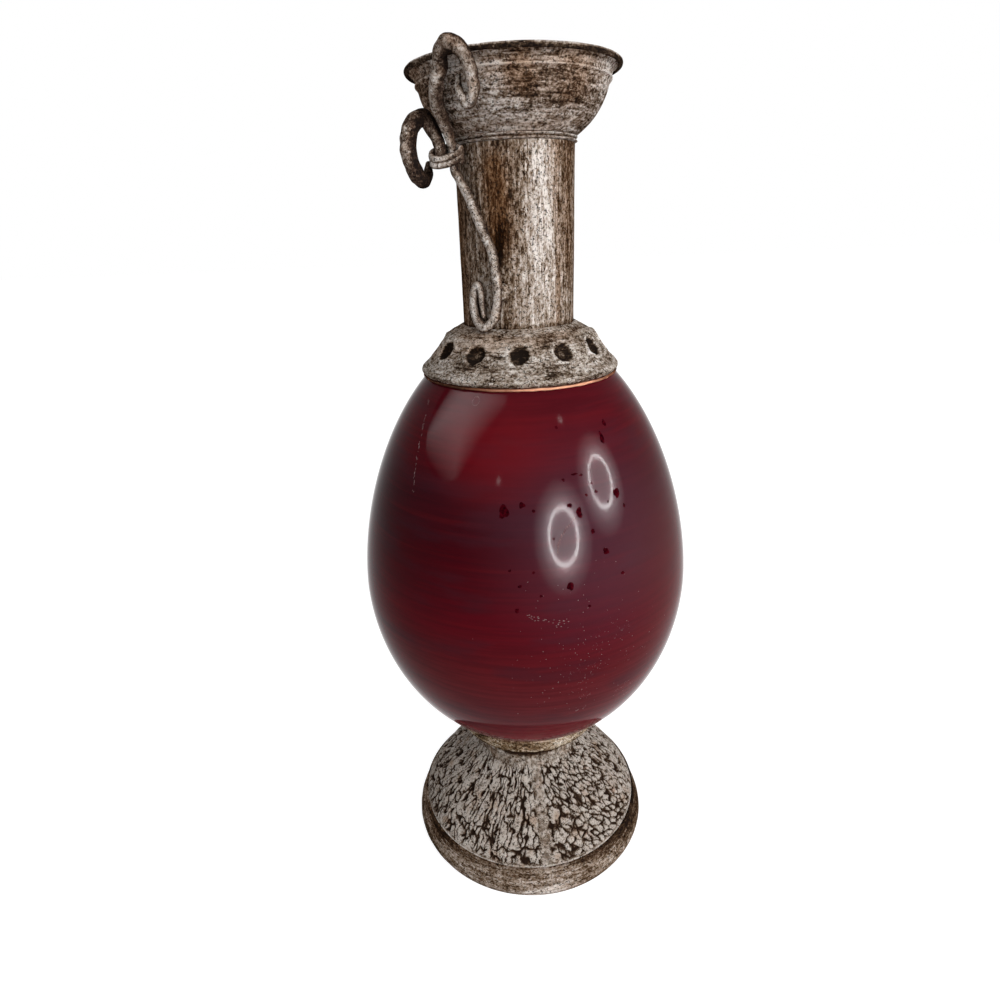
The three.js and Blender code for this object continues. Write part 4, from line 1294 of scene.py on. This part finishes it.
# %% Scratches
dice = np.random.default_rng(7)
scratch_spots = []
for step in np.sort(dice.random(46)):
    turn_here = -57.5 + 12.5 * step ** 0.55 + dice.normal(0, 0.25)
    scratch_spots.append((turn_here, 324 - 42 * step, 0.36, dice.uniform(0.4, 1.5)))
for _ in range(150):
    turn_here, height_here = dice.normal(16, 13), dice.normal(208, 22)
    size_here = dice.uniform(0.2, 0.52)
    scratch_spots.append((turn_here, height_here, size_here, size_here))
for _ in range(34):
    share = dice.random()
    scratch_spots.append((-2 + 13 * share, 228 - 6 * share + dice.normal(0, 1.2), 0.8, 0.4))
for step in range(18):
    share = step / 17
    bend = 2.4 * math.sin(3.4 * share) + dice.normal(0, 0.15)
    scratch_spots.append((8.2 + 6.2 * share - bend * 0.6, 259.5 + 15 * share, 0.6, 1.3))
for k in range(16):
    angle = 2 * math.pi * k / 16
    scratch_spots.append((-25.2 + 1.9 * math.cos(angle), 327.2 + 1.9 * math.sin(angle), 0.6, 0.6))
pale_finish = patch_finish("pale_scratches", (0.13, 0.06, 0.065), (0.3, 0.19, 0.19), 0.4)
patches("lacquer_scratches", scratch_spots, pale_finish, 5.0)

# %% [markdown]
# ### Copper and steel
#
# The joint line is bare copper, brushed and a little dirty. It is painted almost without
# gloss, for the same reason as the patina, and it is brightest towards the front right and
# dark round the back: a painted sheen. The bolt, its washers and nut
# keep the shape of their solids, because they are plain hardware inside the vase. They get a
# dull zinc finish.

# %% Copper joint
def copper():
    finish, tree, shader = new_finish("brushed_copper")
    dirt = grain(tree, 5, 3, 0.7)
    # Painted sheen: the copper is brightest near the front right and darkens away from it.
    tone = swayed(tree, near_place(tree, 18, 56, 333, 60), dirt, 1.1)
    stops = [(0.0, 0.05, 0.02, 0.012), (0.4, 0.2, 0.08, 0.045), (1.0, 0.6, 0.3, 0.19)]
    rough = ranged(tree, dirt, 0.3, 0.7, 0.5, 0.65)
    colour = colours(tree, tone, stops)
    paint(tree, shader, colour, rough, metallic=0.03, gloss=0.0, bump=(dirt, 0.15, 0.4))
    return finish


dress(joint, copper())

# %% Zinc hardware
def zinc():
    finish, tree, shader = new_finish("dull_zinc")
    flakes = grain(tree, 2.5, 3)
    colour = colours(tree, flakes, [(0.3, 0.3, 0.3, 0.29), (0.7, 0.5, 0.49, 0.47)])
    rough = ranged(tree, flakes, 0.3, 0.7, 0.35, 0.5)
    paint(tree, shader, colour, rough, metallic=0.85, bump=(flakes, 0.03, 0.5))
    return finish


hardware = zinc()
for node in ("foot_bolt", "bolt_washer", "nut_washer", "foot_nut"):
    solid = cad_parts[node]
    solid.data.materials.clear()
    solid.data.materials.append(hardware)
print("finishes:", len(bpy.data.materials))

# %% [markdown]
# ## Room
#
# The vase stands on a wide pale floor in a white room. Camera and reflections see the room
# at full white, and the light that falls on the vase from it is softer. The floor adds a
# white glow for the camera, and the part of its brightness that comes from real light keeps
# the shadow.

# %% Floor and white room
ROOM_LIGHT = 0.44
FLOOR_SPAN, FLOOR_DROP = 8.0, 0.0002


def seen_directly(tree):
    """1 for rays of the camera, of gloss and through glass, and 0 for soft light."""
    path = add_node(tree, "LightPath", {})
    seen = sums(tree, "MAXIMUM", path.outputs["Is Camera Ray"], path.outputs["Is Glossy Ray"])
    return sums(tree, "MAXIMUM", seen, path.outputs["Is Transmission Ray"])


world = bpy.data.worlds.new("white_room")
bpy.context.scene.world = world
world.use_nodes = True
room = world.node_tree
room_strength = ranged(room, seen_directly(room), 0, 1, ROOM_LIGHT, 1.0)
feed(room, room.nodes["Background"].inputs, {"Color": (1, 1, 1, 1), "Strength": room_strength})

floor_mesh = bpy.data.meshes.new("floor")
signs = ((-1, -1), (1, -1), (1, 1), (-1, 1))
corners = [(FLOOR_SPAN * x, FLOOR_SPAN * y, -FLOOR_DROP) for x, y in signs]
floor_mesh.from_pydata(corners, [], [(0, 1, 2, 3)])
floor = add_object("floor", floor_mesh)

floor_finish, floor_tree, floor_shader = new_finish("pale_floor")
floor_tree.nodes.remove(floor_shader)
lit = add_node(floor_tree, "BsdfDiffuse", {"Color": (0.7, 0.7, 0.7, 1)}).outputs[0]
shade = add_node(floor_tree, "BsdfDiffuse", {"Color": (0.4, 0.4, 0.4, 1)}).outputs[0]
glow = add_node(floor_tree, "Emission", {"Strength": 0.88}).outputs[0]
both = add_node(floor_tree, "AddShader", {0: shade, 1: glow}).outputs[0]
choice = add_node(floor_tree, "MixShader", {0: seen_directly(floor_tree), 1: lit, 2: both})
feed(floor_tree, floor_tree.nodes["Material Output"].inputs, {"Surface": choice.outputs[0]})
floor_mesh.materials.append(floor_finish)

# %% [markdown]
# ## Lamps
#
# The gloss on the body mirrors two ring lamps to the right of the camera, a dim square window
# up on the left, and two small lamps. A lamp is set where its mirror image falls on the right
# place: a ray goes from the camera to the body, bounces off it, and the lamp hangs at a
# distance along the bounced ray. A ring lamp is a thin disc whose glow depends on the
# distance from its middle, a bright ring with a soft haze round it.

# %% Lamps at their mirrored places
def lamp(name, x, y, distance, size, profile, strength, square=False):
    """A glowing disc or square whose mirror image in the body lies at a place of the picture."""
    ray = sight(x, y)
    hit, place, normal, _ = body.ray_cast(eye, ray)
    bounced = ray.reflect(normal)
    centre = place + bounced * distance
    spokes = 48
    angles = [2 * math.pi * k / spokes for k in range(spokes)]
    rim_points = [(size / 2 * math.cos(a), size / 2 * math.sin(a), 0) for a in angles]
    mesh = bpy.data.meshes.new(name)
    mesh.from_pydata(rim_points, [], [list(range(spokes))])
    disc = add_object(name, mesh)
    facing = (-bounced).to_track_quat("Z", "Y").to_matrix().to_4x4()
    disc.matrix_world = Matrix.Translation(centre) @ facing
    disc.visible_camera = False
    disc.visible_shadow = False
    disc.visible_diffuse = False
    finish, tree, shader = new_finish(name)
    tree.nodes.remove(shader)
    if square:
        sides = add_node(tree, "SeparateXYZ", {0: place_in(tree)})
        wide, tall = (sums(tree, "ABSOLUTE", sides.outputs[axis]) for axis in ("X", "Y"))
        reach = sums(tree, "MAXIMUM", sums(tree, "MULTIPLY", wide, 1.25), tall)
    else:
        length = add_node(tree, "VectorMath", {0: place_in(tree)}, operation="LENGTH")
        reach = length.outputs["Value"]
    out = sums(tree, "DIVIDE", reach, size / 2)
    level_out = colours(tree, out, [(p, v, v, v) for p, v in profile])
    shine = add_node(tree, "Emission", {"Color": level_out, "Strength": strength})
    feed(tree, tree.nodes["Material Output"].inputs, {"Surface": shine.outputs[0]})
    mesh.materials.append(finish)
    print(name, "at", [round(v, 2) for v in centre], "hit", hit)


RING = [
    (0.0, 0.14), (0.3, 0.16), (0.4, 0.24), (0.447, 1.0), (0.465, 1.0), (0.51, 0.22),
    (0.72, 0.07), (1.0, 0.0),
]
WINDOW = [(0.0, 1.0), (0.35, 0.8), (0.7, 0.35), (0.95, 0.0)]
SPOT = [(0.0, 1.0), (0.5, 0.4), (1.0, 0.0)]
lamp("ring_lamp_near", 562.5, 537, 1.0, 0.81, RING, 520)
lamp("ring_lamp_far", 600.5, 482, 1.0, 0.72, RING, 430)
lamp("window_left", 468, 405, 1.2, 1.5, WINDOW, 48, square=True)
lamp("small_lamp_high", 561, 420, 1.0, 0.08, SPOT, 150)
lamp("small_lamp_low", 499.5, 482.5, 1.0, 0.08, SPOT, 90)

# %% [markdown]
# A large soft lamp stands on the right of the camera. It is what makes the right side of
# neck, collar and foot lighter than the left. It gives soft light only and isn't mirrored.

# %% Soft lamp on the right
softbox = bpy.data.lights.new("soft_lamp", "AREA")
softbox.shape = "DISK"
softbox.size = 1.3
softbox.energy = 44
soft_lamp = add_object("soft_lamp", softbox)
soft_place = Vector((1.35, -1.75, 1.25))
soft_aim = (Vector((0, 0, 0.26)) - soft_place).to_track_quat("-Z", "Y")
soft_lamp.matrix_world = Matrix.Translation(soft_place) @ soft_aim.to_matrix().to_4x4()
soft_lamp.visible_glossy = False
